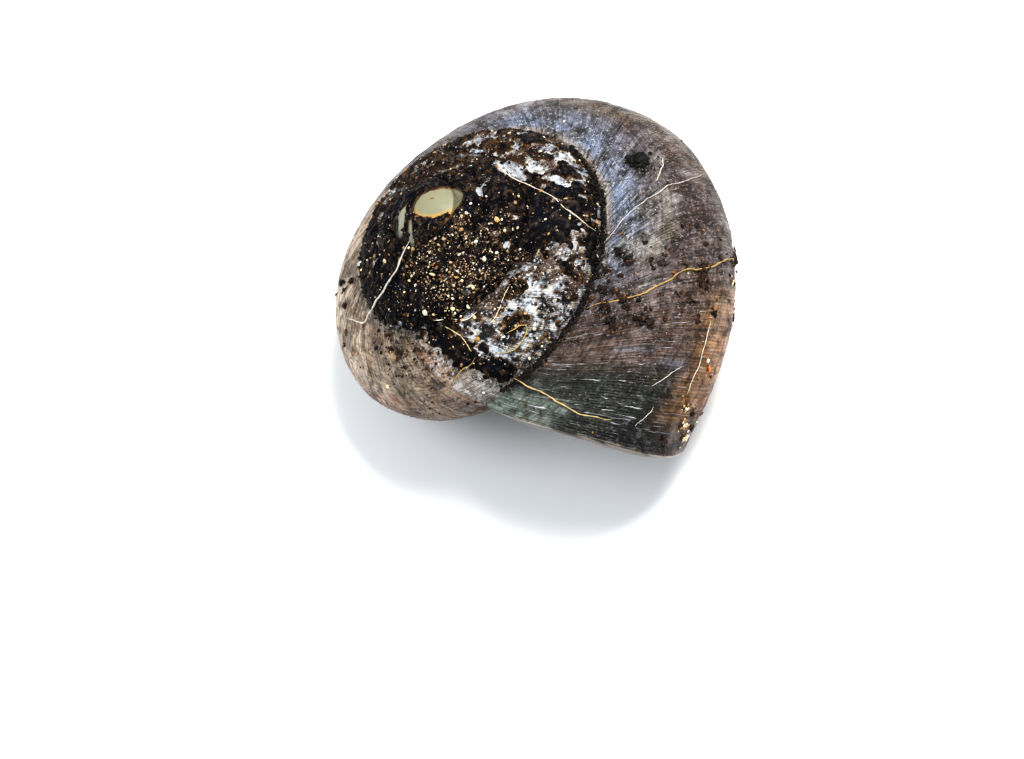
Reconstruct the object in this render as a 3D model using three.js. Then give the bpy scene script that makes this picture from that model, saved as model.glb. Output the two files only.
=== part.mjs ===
// A small land snail shell: right-handed, low and rounded, with a thin lip and a sealed navel.
// Millimetres. The shell is first worked out about its coiling axis, apex up, and then laid down
// as it comes to rest, on the lip and the base with the mouth downwards.
import * as THREE from 'three';
import * as BufferGeometryUtils from 'three/addons/utils/BufferGeometryUtils.js';

// ---- the coil ----
const SUTURE_RADIUS = 4.0; // radius of the suture where the lip meets it
const SUTURE_DEPTH = 3.1; // how far that point lies below the point the spiral grows from
const WHORL_RATIO = 1.607; // each whorl is this many times the one before
const DEPTH_POWER = 1.273; // depth grows faster than radius: the spire domes over
const SPIRE_TURNS = 3.7; // turns of suture between the nucleus and the lip

// ---- the section of a whorl, in parts of its own size ----
const ROOF_OUT = 0.915; // middle of the roof curve, outwards from one suture to the next
const ROOF_DOWN = 0.186; // and downwards
const BASE_DEPTH = 0.347; // depth of the base below the edge of the whorl
const BASE_STEEP = 0.291; // how far the side drops before it turns under
const BASE_FLAT = 0.735; // length of the flat run of the base
const EDGE_TUCK = 0.174; // the side leans in by this much as it drops
const NAVEL_RADIUS = 0.06;

// ---- growth lines: they lean back from the suture to the edge and on to the navel ----
const STEPS_PER_TURN = 58;
const EDGE_LAG_STEPS = 5; // lag of the growth line at the edge of the whorl, in steps
const LAG_AT_SUTURE = 63; // how fast it starts to lean, degrees per unit of the section
const LAG_AT_EDGE = 20; // and how fast it still leans at the edge
const LAG_UNDER = 8; // extra lag gained under the base

// ---- the lip opens out and holds back a little over the last growth ----
const FLARE = 0.25; // at the edge of the whorl, nothing at the suture and the navel
const FLARE_RUN = 9; // degrees of growth over which it fades
const LIP_BACK = 2.2; // degrees by which the lip holds back at the edge, over the same run

// ---- walls ----
const WALL = 0.27; // thickness of the lip
const CALLUS = 0.07; // glaze over the whorl before, inside the mouth
const NAVEL_DEPTH = 6.2; // depth of the pad that seals the navel
const NAVEL_SPREAD = 1.25; // how far that pad spreads
const HOLLOW_TURNS = 1.1; // how far the open whorl runs back from the lip
const PILLAR_END = 1.95; // the hollow stops here, and leaves the pillar round the axis
const WORN = 0.09; // the base is worn flat by this much where it rests
const HAIR = 0.04; // and clears the surface by a hair between the three points it touches on
const HAIR_REACH = 0.8;
const TOUCHES = [[-2.697, 3.338], [-0.39, 4.424], [0.943, -1.318]];

// ---- grid ----
const ROOF_CELLS = 7;
const BASE_CELLS = 9;
const NUCLEUS_RINGS = 3;
const NUCLEUS_RISE = 0.3; // height of the nucleus over its rim

// ---- how it lies: the directions, about the axis, that turn upwards and towards the front ----
const UP = new THREE.Vector3(0.1188, 0.3218, 0.9392);
const FRONT = new THREE.Vector3(0.559, 0.469, 0.684);

const TURN = 2 * Math.PI;
const GROWTH = Math.log(WHORL_RATIO) / TURN;
const STEP = TURN / STEPS_PER_TURN;
const EDGE_LAG = EDGE_LAG_STEPS * STEP;
const FULL_CELLS = ROOF_CELLS + BASE_CELLS;

const mix = (a, b, t) => a + (b - a) * t;

// The suture at a turn angle: its radius and height.
function suture(angle) {
  const size = Math.exp(GROWTH * angle);
  return { r: SUTURE_RADIUS * size, z: -SUTURE_DEPTH * size ** DEPTH_POWER };
}

// The lag of the growth line: u is 0 at the suture, 1 at the edge of the whorl and 2 at the navel.
function lag(u) {
  if (u <= 1) {
    const start = THREE.MathUtils.degToRad(LAG_AT_SUTURE);
    const end = THREE.MathUtils.degToRad(LAG_AT_EDGE);
    const cubic = start + end - 2 * EDGE_LAG;
    const square = 3 * EDGE_LAG - 2 * start - end;
    return u * (start + u * (square + u * cubic));
  }
  const v = u - 1;
  return EDGE_LAG + THREE.MathUtils.degToRad(LAG_AT_EDGE * v + LAG_UNDER * v ** 3);
}

// A point of the outside, at a growth stage (an angle, 0 at the lip) and a place u across it.
function outside(stage, u) {
  const late = Math.exp(Math.min(0, stage) / THREE.MathUtils.degToRad(FLARE_RUN));
  const full = late * Math.sin((Math.PI * u) / 2) ** 2;
  const angle = stage - lag(u) - THREE.MathUtils.degToRad(LIP_BACK) * full;
  const upper = suture(angle);
  const lower = suture(angle + TURN);
  let r;
  let z;
  if (u <= 1) {
    const midR = mix(upper.r, lower.r, ROOF_OUT);
    const midZ = mix(upper.z, lower.z, ROOF_DOWN);
    r = (1 - u) ** 2 * upper.r + 2 * u * (1 - u) * midR + u * u * lower.r;
    z = (1 - u) ** 2 * upper.z + 2 * u * (1 - u) * midZ + u * u * lower.z;
  } else {
    const v = u - 1;
    const w = 1 - v;
    const size = lower.r;
    const navelR = NAVEL_RADIUS * size;
    const navelZ = lower.z - BASE_DEPTH * size;
    const sideR = lower.r - EDGE_TUCK * BASE_STEEP * size;
    const sideZ = lower.z - BASE_STEEP * size;
    const flatR = navelR + BASE_FLAT * size;
    r = w ** 3 * lower.r + 3 * w * w * v * sideR + 3 * w * v * v * flatR + v ** 3 * navelR;
    z = w ** 3 * lower.z + 3 * w * w * v * sideZ + 3 * w * v * v * navelZ + v ** 3 * navelZ;
    // the pad that seals the navel draws the base to one level round the axis
    const pad = Math.exp(GROWTH * Math.min(0, stage + TURN - EDGE_LAG));
    const near = Math.exp(-((r / (NAVEL_SPREAD * pad)) ** 2));
    z = mix(z, -NAVEL_DEPTH * pad ** DEPTH_POWER, near);
  }
  // the flare pushes away from the middle of the mouth
  const middle = new THREE.Vector2(mix(upper.r, lower.r, 0.35), lower.z);
  const away = new THREE.Vector2(r, z).sub(middle).normalize();
  r += FLARE * full * away.x;
  z += FLARE * full * away.y;
  return new THREE.Vector3(r * Math.cos(angle), -r * Math.sin(angle), z);
}

// The outward direction there, from two short steps along the surface.
function outward(stage, u) {
  const e = 1e-3;
  const along = outside(stage + e, u).sub(outside(stage - e, u));
  const across = outside(stage, Math.min(u + e, 2)).sub(outside(stage, Math.max(u - e, 0)));
  return along.cross(across).normalize();
}

// ---- one welded skin: every vertex has a key, and equal keys are one vertex ----
const positions = [];
const triangles = [];

function vertex(point) {
  positions.push(point.x, point.y, point.z);
  return positions.length / 3 - 1;
}

function quad(a, b, c, d) {
  triangles.push(a, c, b, a, d, c);
}

const steps = Math.round(SPIRE_TURNS * STEPS_PER_TURN);
const firstOpen = steps - STEPS_PER_TURN + EDGE_LAG_STEPS; // where the base comes into view
const stageOf = (i) => (i - steps) * STEP;
const acrossOf = (j) => (j <= ROOF_CELLS ? j / ROOF_CELLS : 1 + (j - ROOF_CELLS) / BASE_CELLS);

const grid = new Map();
function skin(i, j) {
  // the edge of one whorl is the suture of the next
  if (j === 0 && i + EDGE_LAG_STEPS - STEPS_PER_TURN >= 0) {
    return skin(i + EDGE_LAG_STEPS - STEPS_PER_TURN, ROOF_CELLS);
  }
  const key = `${i} ${j}`;
  if (!grid.has(key)) grid.set(key, vertex(outside(stageOf(i), acrossOf(j))));
  return grid.get(key);
}

function outerSkin() {
  for (let i = 0; i < steps; i += 1) {
    const end = i >= firstOpen ? FULL_CELLS : ROOF_CELLS;
    for (let j = 0; j < end; j += 1) {
      quad(skin(i, j), skin(i, j + 1), skin(i + 1, j + 1), skin(i + 1, j));
    }
  }
}

// The nucleus closes the first turn with a low dome, in rings drawn in to the axis.
function nucleus() {
  const rim = [];
  const turnEnd = STEPS_PER_TURN - EDGE_LAG_STEPS;
  for (let i = 0; i < turnEnd; i += 1) rim.push(skin(i, 0));
  for (let j = ROOF_CELLS; j > 0; j -= 1) rim.push(skin(0, j));
  const top = suture(stageOf(0)).z + NUCLEUS_RISE;
  let ring = rim;
  for (let k = 1; k < NUCLEUS_RINGS; k += 1) {
    const t = 1 - k / NUCLEUS_RINGS;
    const next = rim.map((v) => {
      const [x, y, z] = positions.slice(3 * v, 3 * v + 3);
      return vertex(new THREE.Vector3(x * t, y * t, mix(top, z, t * t)));
    });
    ring.forEach((v, n) => {
      const m = (n + 1) % ring.length;
      quad(ring[m], next[m], next[n], v);
    });
    ring = next;
  }
  const tip = vertex(new THREE.Vector3(0, 0, top));
  ring.forEach((v, n) => triangles.push(tip, ring[(n + 1) % ring.length], v));
}

// The pad at the navel: a fan from the axis to the inner end of the base.
function navelPad() {
  const ring = [];
  for (let i = firstOpen; i <= steps; i += 1) ring.push(skin(i, FULL_CELLS));
  const foot = vertex(new THREE.Vector3(0, 0, -NAVEL_DEPTH));
  ring.forEach((v, n) => triangles.push(ring[(n + 1) % ring.length], foot, v));
}

// The rim of the mouth: the lip from suture to navel, then back over the whorl before.
function mouthRim() {
  const rim = [];
  for (let j = 0; j <= FULL_CELLS; j += 1) rim.push(skin(steps, j));
  for (let j = FULL_CELLS; j > ROOF_CELLS; j -= 1) rim.push(skin(firstOpen, j));
  return rim;
}

// One loop of the hollow at a growth stage, in the order of the mouth rim.
function hollowLoop(stage) {
  const wall = WALL * Math.exp(GROWTH * stage);
  const loop = [];
  for (let j = 0; j <= FULL_CELLS; j += 1) {
    const u = mix(0.14, PILLAR_END, acrossOf(j) / 2);
    loop.push(vertex(outside(stage, u).addScaledVector(outward(stage, u), -wall)));
  }
  const before = stage - TURN + EDGE_LAG;
  for (let j = FULL_CELLS; j > ROOF_CELLS; j -= 1) {
    const u = mix(1.1, PILLAR_END, acrossOf(j) - 1);
    loop.push(vertex(outside(before, u).addScaledVector(outward(before, u), CALLUS)));
  }
  return loop;
}

function hollow() {
  let loop = mouthRim();
  const count = Math.round(HOLLOW_TURNS * STEPS_PER_TURN);
  for (let k = 0; k <= count; k += 1) {
    const next = hollowLoop(-k * STEP);
    loop.forEach((v, n) => {
      const m = (n + 1) % loop.length;
      quad(v, loop[m], next[m], next[n]);
    });
    loop = next;
  }
  const middle = new THREE.Vector3();
  loop.forEach((v) => middle.add(new THREE.Vector3(...positions.slice(3 * v, 3 * v + 3))));
  const end = vertex(middle.divideScalar(loop.length));
  loop.forEach((v, n) => triangles.push(loop[(n + 1) % loop.length], v, end));
}

outerSkin();
nucleus();
navelPad();
hollow();

let geometry = new THREE.BufferGeometry();
geometry.setAttribute('position', new THREE.Float32BufferAttribute(positions, 3));
geometry.setIndex(triangles);
geometry = BufferGeometryUtils.mergeVertices(geometry, 1e-4);

// Laid down: turned to its resting side, worn flat where it touches, and moved so that it stands
// on z = 0 about the origin.
const up = UP.clone().normalize();
const back = FRONT.clone().addScaledVector(up, -FRONT.dot(up)).normalize().negate();
const right = back.clone().cross(up);
geometry.applyMatrix4(new THREE.Matrix4().makeBasis(right, back, up).transpose());
geometry.computeBoundingBox();
const { min, max } = geometry.boundingBox;
geometry.translate(-(min.x + max.x) / 2, -(min.y + max.y) / 2, -(min.z + WORN));
const place = geometry.attributes.position;
for (let v = 0; v < place.count; v += 1) {
  const [px, py, pz] = [place.getX(v), place.getY(v), place.getZ(v)];
  const away = Math.min(...TOUCHES.map(([x, y]) => Math.hypot(px - x, py - y)));
  place.setZ(v, Math.max(pz, HAIR * Math.min(1, away / HAIR_REACH)));
}
geometry.computeBoundingBox();
geometry.translate(0, 0, -geometry.boundingBox.min.z);
geometry.computeVertexNormals();

const shell = new THREE.Mesh(
  geometry,
  new THREE.MeshStandardMaterial({ color: 0x8d8389, roughness: 0.42, metalness: 0 }),
);
shell.name = 'shell';

const snail = new THREE.Group();
snail.add(shell);
export default snail;
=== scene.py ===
"""A small land snail shell with the soil, sand and rootlets that cling to it.

Every surface is a function of two parameters: the growth stage, an angle that is 0 at the lip and
runs negative towards the first whorl, and u, a place across the whorl: 0 at the suture above it,
1 at its edge and 2 at the navel. Lengths are in millimetres until a mesh is made.
"""
import itertools
import math

import bpy
import numpy as np
from mathutils import Matrix, Vector


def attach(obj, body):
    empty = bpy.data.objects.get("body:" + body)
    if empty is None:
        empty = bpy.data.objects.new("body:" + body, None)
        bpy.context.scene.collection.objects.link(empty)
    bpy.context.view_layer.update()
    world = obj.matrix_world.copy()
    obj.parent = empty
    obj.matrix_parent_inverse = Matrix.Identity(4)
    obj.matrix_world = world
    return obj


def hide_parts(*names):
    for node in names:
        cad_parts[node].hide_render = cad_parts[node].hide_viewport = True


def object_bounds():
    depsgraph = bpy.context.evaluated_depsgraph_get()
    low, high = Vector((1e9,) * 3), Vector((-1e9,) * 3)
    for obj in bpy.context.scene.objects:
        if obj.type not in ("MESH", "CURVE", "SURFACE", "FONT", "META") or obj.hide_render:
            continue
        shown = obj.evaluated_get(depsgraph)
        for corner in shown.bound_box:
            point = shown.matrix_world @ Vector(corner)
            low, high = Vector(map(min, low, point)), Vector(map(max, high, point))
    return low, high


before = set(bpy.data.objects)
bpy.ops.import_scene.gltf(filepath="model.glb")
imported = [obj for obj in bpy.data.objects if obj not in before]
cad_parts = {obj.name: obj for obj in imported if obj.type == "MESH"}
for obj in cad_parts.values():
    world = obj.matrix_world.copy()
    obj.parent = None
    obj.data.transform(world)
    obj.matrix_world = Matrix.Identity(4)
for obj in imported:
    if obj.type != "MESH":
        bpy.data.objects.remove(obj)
CAD_LOW, CAD_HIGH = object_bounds()

bl_info = {
    "name": "Land snail shell",
    "version": (1, 0, 0),
    "blender": (4, 5, 0),
    "location": "3D View > Sidebar > Shell",
    "description": "Builds a land snail shell with soil, sand grains and rootlets stuck to it",
    "category": "Object",
}

MM = 0.001
TURN = 2 * math.pi
BODY = "root"

# ---- the coil, and the section of a whorl in parts of its own size ----
SUTURE_RADIUS = 4.0
SUTURE_DEPTH = 3.1
WHORL_RATIO = 1.607
DEPTH_POWER = 1.273
SPIRE_TURNS = 3.7
ROOF_OUT, ROOF_DOWN = 0.915, 0.186
BASE_DEPTH, BASE_STEEP, BASE_FLAT = 0.347, 0.291, 0.735
EDGE_TUCK = 0.174
NAVEL_RADIUS = 0.06
NAVEL_DEPTH, NAVEL_SPREAD = 6.2, 1.25
LAG_STEPS, LAG_STEPS_PER_TURN = 5, 58
LAG_AT_SUTURE, LAG_AT_EDGE, LAG_UNDER = math.radians(63), math.radians(20), math.radians(8)
FLARE, FLARE_RUN, LIP_BACK = 0.25, math.radians(9), math.radians(2.2)
WORN = 0.09  # worn off the base where it rests
HOLLOW_TURNS = 1.1
PILLAR_END = 1.95
NUCLEUS_RISE = 0.3
GROWTH = math.log(WHORL_RATIO) / TURN
EDGE_LAG = LAG_STEPS * TURN / LAG_STEPS_PER_TURN
NUCLEUS_TOP = -SUTURE_DEPTH * math.exp(-GROWTH * TURN * SPIRE_TURNS) ** DEPTH_POWER + NUCLEUS_RISE

# ---- how it lies, and from where it is seen: directions about the shell's own axis ----
UP = np.array([0.1188, 0.3218, 0.9392])
FRONT = np.array([0.559, 0.469, 0.684])
VIEW_BACK = np.array([0.5593, 0.4691, 0.6835])
VIEW_UP = np.array([-0.8278, 0.2730, 0.4900])
AIM_RIGHT, AIM_UP = 2.28, -4.30  # the middle of the view, from the top of the axis

# ---- the mouth: how far the lip bulges in parts of its thickness, and u where hollow and glaze start
LIP_BULGE, HOLLOW_TOP, GLAZE_TOP, HOLLOW_LAG = 0.45, 0.14, 1.1, math.radians(2.5)
FILM_ON_BODY, FILM_ON_SPIRE = 0.85, 0.12  # how much the growth lines show in the colour

# ---- soil: the depth of its underside, heights where it ends or is gone, and its dome over the
# nucleus ----
SOIL_DEPTH, SOIL_END, SOIL_GONE = 0.09, -0.06, -0.05
DOME_HALF, DOME_POINTS, DOME_DROP, DOME_RADIUS = 0.86, 62, 0.34, 0.8

# ---- grids ----
SPT = LAG_STEPS_PER_TURN * 8  # steps per turn of the outer skin
LAG_CELLS = LAG_STEPS * 8
ROOF_CELLS, BASE_CELLS = 28, 26
LIP_ROUNDS = 5
NUCLEUS_RINGS = 14
GROWN_ALONG, GROWN_ACROSS = 6.0, 4.0  # size of the growth coordinates per radian and per u


# ==== Numbers and noise ====
def mix(a, b, t):
    """From a to b as t goes from 0 to 1."""
    return a + (b - a) * t


def step(x, low, high):
    """0 below low, 1 above high, and a smooth cubic rise between them."""
    t = np.clip((x - low) / (high - low), 0.0, 1.0)
    return t * t * (3 - 2 * t)


def between(x, low, full, until, high):
    """0 below low and above high, 1 from full to until, and smooth between them."""
    return step(x, low, full) * step(-x, -high, -until)


def lattice(cell, seed):
    """A repeatable number from 0 to 1 for every whole-number cell: its coordinates, mixed as bits."""
    n = cell[..., 0] * 374761393 + cell[..., 1] * 668265263 + cell[..., 2] * 1442695041
    n = (n + seed * 974634777) & 0xFFFFFFFF
    n = ((n ^ (n >> 13)) * 1274126177) & 0xFFFFFFFF
    n = ((n ^ (n >> 15)) * 668265263) & 0xFFFFFFFF
    return ((n ^ (n >> 16)) & 0xFFFFFF) / 0xFFFFFF


def noise(points, size, seed, octaves=1):
    """Smooth noise from -1 to 1 with lumps of the given size: lattice numbers, blended by a cubic
    along each axis. Each further octave has half the size and half the height."""
    total = np.zeros(points.shape[:-1])
    height, sum_of_heights = 1.0, 0.0
    for octave in range(octaves):
        p = points / (size * 0.5**octave) + 17.3 * octave
        cell = np.floor(p).astype(np.int64)
        t = p - cell
        t = t * t * (3 - 2 * t)
        value = np.zeros(points.shape[:-1])
        for corner in itertools.product((0, 1), repeat=3):
            offset = np.array(corner)
            weight = np.prod(np.where(offset == 1, t, 1 - t), axis=-1)
            value += weight * lattice(cell + offset, seed + octave)
        total += height * (value * 2 - 1)
        sum_of_heights += height
        height *= 0.5
    return total / sum_of_heights


# ==== The shell's surface ====
def lag(u):
    """How far the growth line lags at u: a cubic to the edge of the whorl, then on under the base."""
    cubic = LAG_AT_SUTURE + LAG_AT_EDGE - 2 * EDGE_LAG
    square = 3 * EDGE_LAG - 2 * LAG_AT_SUTURE - LAG_AT_EDGE
    roof = u * (LAG_AT_SUTURE + u * (square + u * cubic))
    v = u - 1
    return np.where(u <= 1, roof, EDGE_LAG + LAG_AT_EDGE * v + LAG_UNDER * v**3)


def outside(stage, u):
    """The outer surface: the roof is a quadratic curve between two turns of the suture, the base a
    cubic from there to the navel, and both turn about the axis at the angle stage - lag(u)."""
    stage, u = np.broadcast_arrays(np.asarray(stage, float), np.asarray(u, float))
    full = np.exp(np.minimum(0, stage) / FLARE_RUN) * np.sin(math.pi * u / 2) ** 2
    angle = stage - lag(u) - LIP_BACK * full
    size = np.exp(GROWTH * angle)
    upper_r, upper_z = SUTURE_RADIUS * size, -SUTURE_DEPTH * size**DEPTH_POWER
    size = size * WHORL_RATIO
    lower_r, lower_z = SUTURE_RADIUS * size, -SUTURE_DEPTH * size**DEPTH_POWER
    mid_r, mid_z = mix(upper_r, lower_r, ROOF_OUT), mix(upper_z, lower_z, ROOF_DOWN)
    roof_r = (1 - u) ** 2 * upper_r + 2 * u * (1 - u) * mid_r + u * u * lower_r
    roof_z = (1 - u) ** 2 * upper_z + 2 * u * (1 - u) * mid_z + u * u * lower_z
    v, w = u - 1, 2 - u
    navel_r, navel_z = NAVEL_RADIUS * lower_r, lower_z - BASE_DEPTH * lower_r
    side_r, side_z = lower_r * (1 - EDGE_TUCK * BASE_STEEP), lower_z - BASE_STEEP * lower_r
    flat_r = navel_r + BASE_FLAT * lower_r
    base_r = w**3 * lower_r + 3 * w * w * v * side_r + 3 * w * v * v * flat_r + v**3 * navel_r
    base_z = w**3 * lower_z + 3 * w * w * v * side_z + (3 * w * v * v + v**3) * navel_z
    pad = np.exp(GROWTH * np.minimum(0, stage + TURN - EDGE_LAG))
    near = np.exp(-((base_r / (NAVEL_SPREAD * pad)) ** 2))
    base_z = mix(base_z, -NAVEL_DEPTH * pad**DEPTH_POWER, near)
    r, z = np.where(u <= 1, roof_r, base_r), np.where(u <= 1, roof_z, base_z)
    away_r, away_z = r - mix(upper_r, lower_r, 0.35), z - lower_z
    length = np.hypot(away_r, away_z)
    r, z = r + FLARE * full * away_r / length, z + FLARE * full * away_z / length
    return np.stack([r * np.cos(angle), -r * np.sin(angle), z], -1)


def unit(vectors):
    """The same directions, one long."""
    return vectors / np.maximum(np.linalg.norm(vectors, axis=-1, keepdims=True), 1e-12)


def outward(stage, u):
    """The outward direction: the cross product of two short steps along the surface."""
    e = 1e-3
    stage, u = np.broadcast_arrays(np.asarray(stage, float), np.asarray(u, float))
    along = outside(stage + e, u) - outside(stage - e, u)
    across = outside(stage, np.minimum(u + e, 2)) - outside(stage, np.maximum(u - e, 0))
    return unit(np.cross(along, across))


def onward(stage, u):
    """The direction of growth."""
    return unit(outside(stage + 1e-3, u) - outside(stage - 1e-3, u))


def unrolled(stage, u, along=GROWN_ALONG, across=GROWN_ACROSS):
    """Growth coordinates: noise in them is drawn out along the growth lines."""
    return np.stack([stage * along, u * across, 0 * u], -1)


def axes_of_rest():
    """Rows that turn the shell's own frame to how it lies: right, away from the front, and up."""
    up = UP / np.linalg.norm(UP)
    back = -(FRONT - up * (FRONT @ up))
    back = back / np.linalg.norm(back)
    return np.stack([np.cross(back, up), back, up])


LIE = axes_of_rest()


def place_of_rest():
    """The move that sets the box of the turned shell on the CAD model's box."""
    stage = np.radians(np.linspace(-360 * HOLLOW_TURNS, 0, 500))[:, None]
    skin = outside(stage, np.linspace(0, 2, 120)[None, :]).reshape(-1, 3) @ LIE.T
    low, high = skin.min(0), skin.max(0)
    cad_low, cad_high = np.array(CAD_LOW) / MM, np.array(CAD_HIGH) / MM
    middle = (cad_low + cad_high) / 2 - (low + high) / 2
    return np.array([middle[0], middle[1], cad_low[2] - low[2] - WORN])


SHIFT = place_of_rest()


def laid(points):
    """Points of the shell's own frame, in metres, where the shell lies."""
    return (points @ LIE.T + SHIFT) * MM


def worn(points):
    """Points of the shell's own frame, none of them below the surface that it rests on."""
    up = LIE[2]
    return points + np.maximum(-SHIFT[2] - points @ up, 0)[:, None] * up


# ==== Meshes ====
def new_mesh(name, points, faces, materials, smooth=True, floats=None, vectors=None, slots=None):
    """One mesh object from whole arrays, as a piece of the shell. points are in the shell's frame
    and faces hold vertex numbers; floats and vectors are named values at the vertices."""
    mesh = bpy.data.meshes.new(name)
    mesh.vertices.add(len(points))
    mesh.vertices.foreach_set("co", laid(points).astype(np.float32).ravel())
    sizes = np.concatenate([np.full(len(f), f.shape[1]) for f in faces])
    corners = np.concatenate([f.ravel() for f in faces])
    mesh.loops.add(len(corners))
    mesh.loops.foreach_set("vertex_index", corners.astype(np.int32))
    mesh.polygons.add(len(sizes))
    starts = np.concatenate([[0], np.cumsum(sizes)[:-1]])
    mesh.polygons.foreach_set("loop_start", starts.astype(np.int32))
    mesh.polygons.foreach_set("use_smooth", np.full(len(sizes), smooth))
    for material in materials:
        mesh.materials.append(material)
    if slots is not None:
        mesh.polygons.foreach_set("material_index", np.asarray(slots, np.int32))
    for key, values in (floats or {}).items():
        attribute = mesh.attributes.new(key, "FLOAT", "POINT")
        attribute.data.foreach_set("value", np.asarray(values, np.float32))
    for key, values in (vectors or {}).items():
        attribute = mesh.attributes.new(key, "FLOAT_VECTOR", "POINT")
        attribute.data.foreach_set("vector", np.asarray(values, np.float32).ravel())
    mesh.update(calc_edges=True)
    mesh.validate()
    obj = bpy.data.objects.new(name, mesh)
    bpy.context.scene.collection.objects.link(obj)
    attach(obj, BODY)
    return obj


def cells(ids):
    """The faces between neighbouring rows and columns of a grid of vertex numbers."""
    quads = np.stack([ids[:-1, :-1], ids[1:, :-1], ids[1:, 1:], ids[:-1, 1:]], -1)
    return quads.reshape(-1, 4)


def rounds(outer, inner):
    """The faces between two loops of the same length."""
    return np.stack([outer, inner, np.roll(inner, -1), np.roll(outer, -1)], -1)


def joined(parts):
    """Vertices and faces of several parts as those of one."""
    starts = np.cumsum([0] + [len(vertices) for vertices, _ in parts])
    faces = [f + start for start, (_, found) in zip(starts, parts) for f in found]
    return np.concatenate([vertices for vertices, _ in parts]), faces


def fan(loop, tip):
    """The faces from a loop to one vertex."""
    return np.stack([loop, np.full(len(loop), tip), np.roll(loop, -1)], -1)


# ==== What lies where: soil, bare patches and stains ====
# Bare patches of the spire, seen along the axis: middle x and y, half length, half width, and the
# turn of the long side from x, in degrees.
BARE_CAP = (0.07, 0.45, 0.56, 0.36, 112)
PLAQUE = "#7f7d67"  # the greenish cream of the cap
BARE_STRIPS = (
    (0.25, -0.57, 0.34, 0.15, -28),
    (0.72, -0.36, 0.36, 0.07, -17),
    (-0.96, 0.18, 0.62, 0.11, 122),
    (-0.24, 1.32, 0.17, 0.06, 15),
    (-0.50, 1.42, 0.15, 0.045, 130),
    (-1.12, 1.76, 0.42, 0.17, 40),
    (-1.05, 2.35, 0.30, 0.12, 60),
    (-0.66, 2.90, 0.28, 0.10, 50),
)


def patch(points, spot):
    """1 in the middle of a patch, 0 on its rim and negative outside."""
    x, y, half_long, half_wide, turn = spot
    c, s = math.cos(math.radians(turn)), math.sin(math.radians(turn))
    dx, dy = points[..., 0] - x, points[..., 1] - y
    return 1 - np.hypot((dx * c + dy * s) / half_long, (dy * c - dx * s) / half_wide)


def bare(points, stage, u):
    """How bare the spire is: above 0 the soil is gone. Named patches, holes towards the back, the
    worn outer half of the last whorl but one and its clean left side, broken up by noise."""
    ragged = noise(points, 0.20, 11, 3)
    found = patch(points, BARE_CAP) * 1.6 + ragged * 0.30
    for spot in BARE_STRIPS:
        found = np.maximum(found, patch(points, spot) * 1.1 + ragged * 0.75)
    mottle = noise(points, 0.42, 5, 4)
    degrees = np.degrees(stage) + 14 * mottle + 9 * ragged
    holes = 1.5 * (noise(points, 0.24, 13, 4) - 0.48) + 0.66 * step(-points[..., 0], 0.1, 1.2)
    right = between(degrees, -425, -400, -352, -345)
    rubbed = right * (0.18 + 0.34 * step(u, 0.2, 0.6)) + 1.3 * mottle + 0.40 * ragged - 0.20
    rubbed = rubbed - 3 * (1 - right)
    left = between(degrees, -352, -335, -262, -250)
    clean = left * (1.3 * step(u, 0.12, 0.42) - 0.25) + 0.6 * mottle - 2 * (1 - left)
    clean = clean + 0.5 * between(degrees, -318, -300, -300, -262)
    return np.maximum(np.maximum(found, holes), np.maximum(rubbed, clean))


# ==== Colours and materials ====
def linear(hex_colour):
    """An sRGB hex value as linear red, green and blue."""
    value = np.array([int(hex_colour[i : i + 2], 16) for i in (1, 3, 5)]) / 255
    return np.where(value <= 0.04045, value / 12.92, ((value + 0.055) / 1.055) ** 2.4)


def rgba(hex_colour):
    """The same with full alpha, as sockets take it."""
    return (*linear(hex_colour), 1.0)


def laid_over(colour, zone, layers):
    """Colours at the vertices, with named ones laid over them by their amounts inside a zone."""
    for name, amount in layers:
        colour = mix(colour, linear(name), np.clip(zone * amount, 0, 1)[..., None])
    return colour


def new_material(name):
    """A node material without nodes, as two functions: one adds a node, one finishes it."""
    material = bpy.data.materials.new(name)
    material.use_nodes = True
    tree = material.node_tree
    tree.nodes.clear()

    def add(kind, inputs=None, output=0, stops=(), **settings):
        """Adds a node and returns one of its outputs. An input is a value or the output that feeds
        it; settings are properties of the node, and stops the places and colours of a ramp."""
        node = tree.nodes.new(kind)
        for key, value in settings.items():
            setattr(node, key, value)
        for k, (position, colour) in enumerate(stops):
            node.color_ramp.elements[k].position = position
            node.color_ramp.elements[k].color = rgba(colour)
        for key, value in (inputs or {}).items():
            if isinstance(value, bpy.types.NodeSocket):
                tree.links.new(value, node.inputs[key])
            else:
                node.inputs[key].default_value = value
        return node.outputs[output] if node.outputs else None

    def finish(inputs):
        """Adds the surface shader with its inputs and returns the material."""
        add("ShaderNodeOutputMaterial", {"Surface": add("ShaderNodeBsdfPrincipled", inputs)})
        return material

    return add, finish


def painted(name, inputs):
    """A plain material that takes its colour from the tint of each vertex."""
    add, finish = new_material(name)
    tint = add("ShaderNodeAttribute", output="Color", attribute_name="tint")
    return finish({"Base Color": tint, **inputs})


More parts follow.
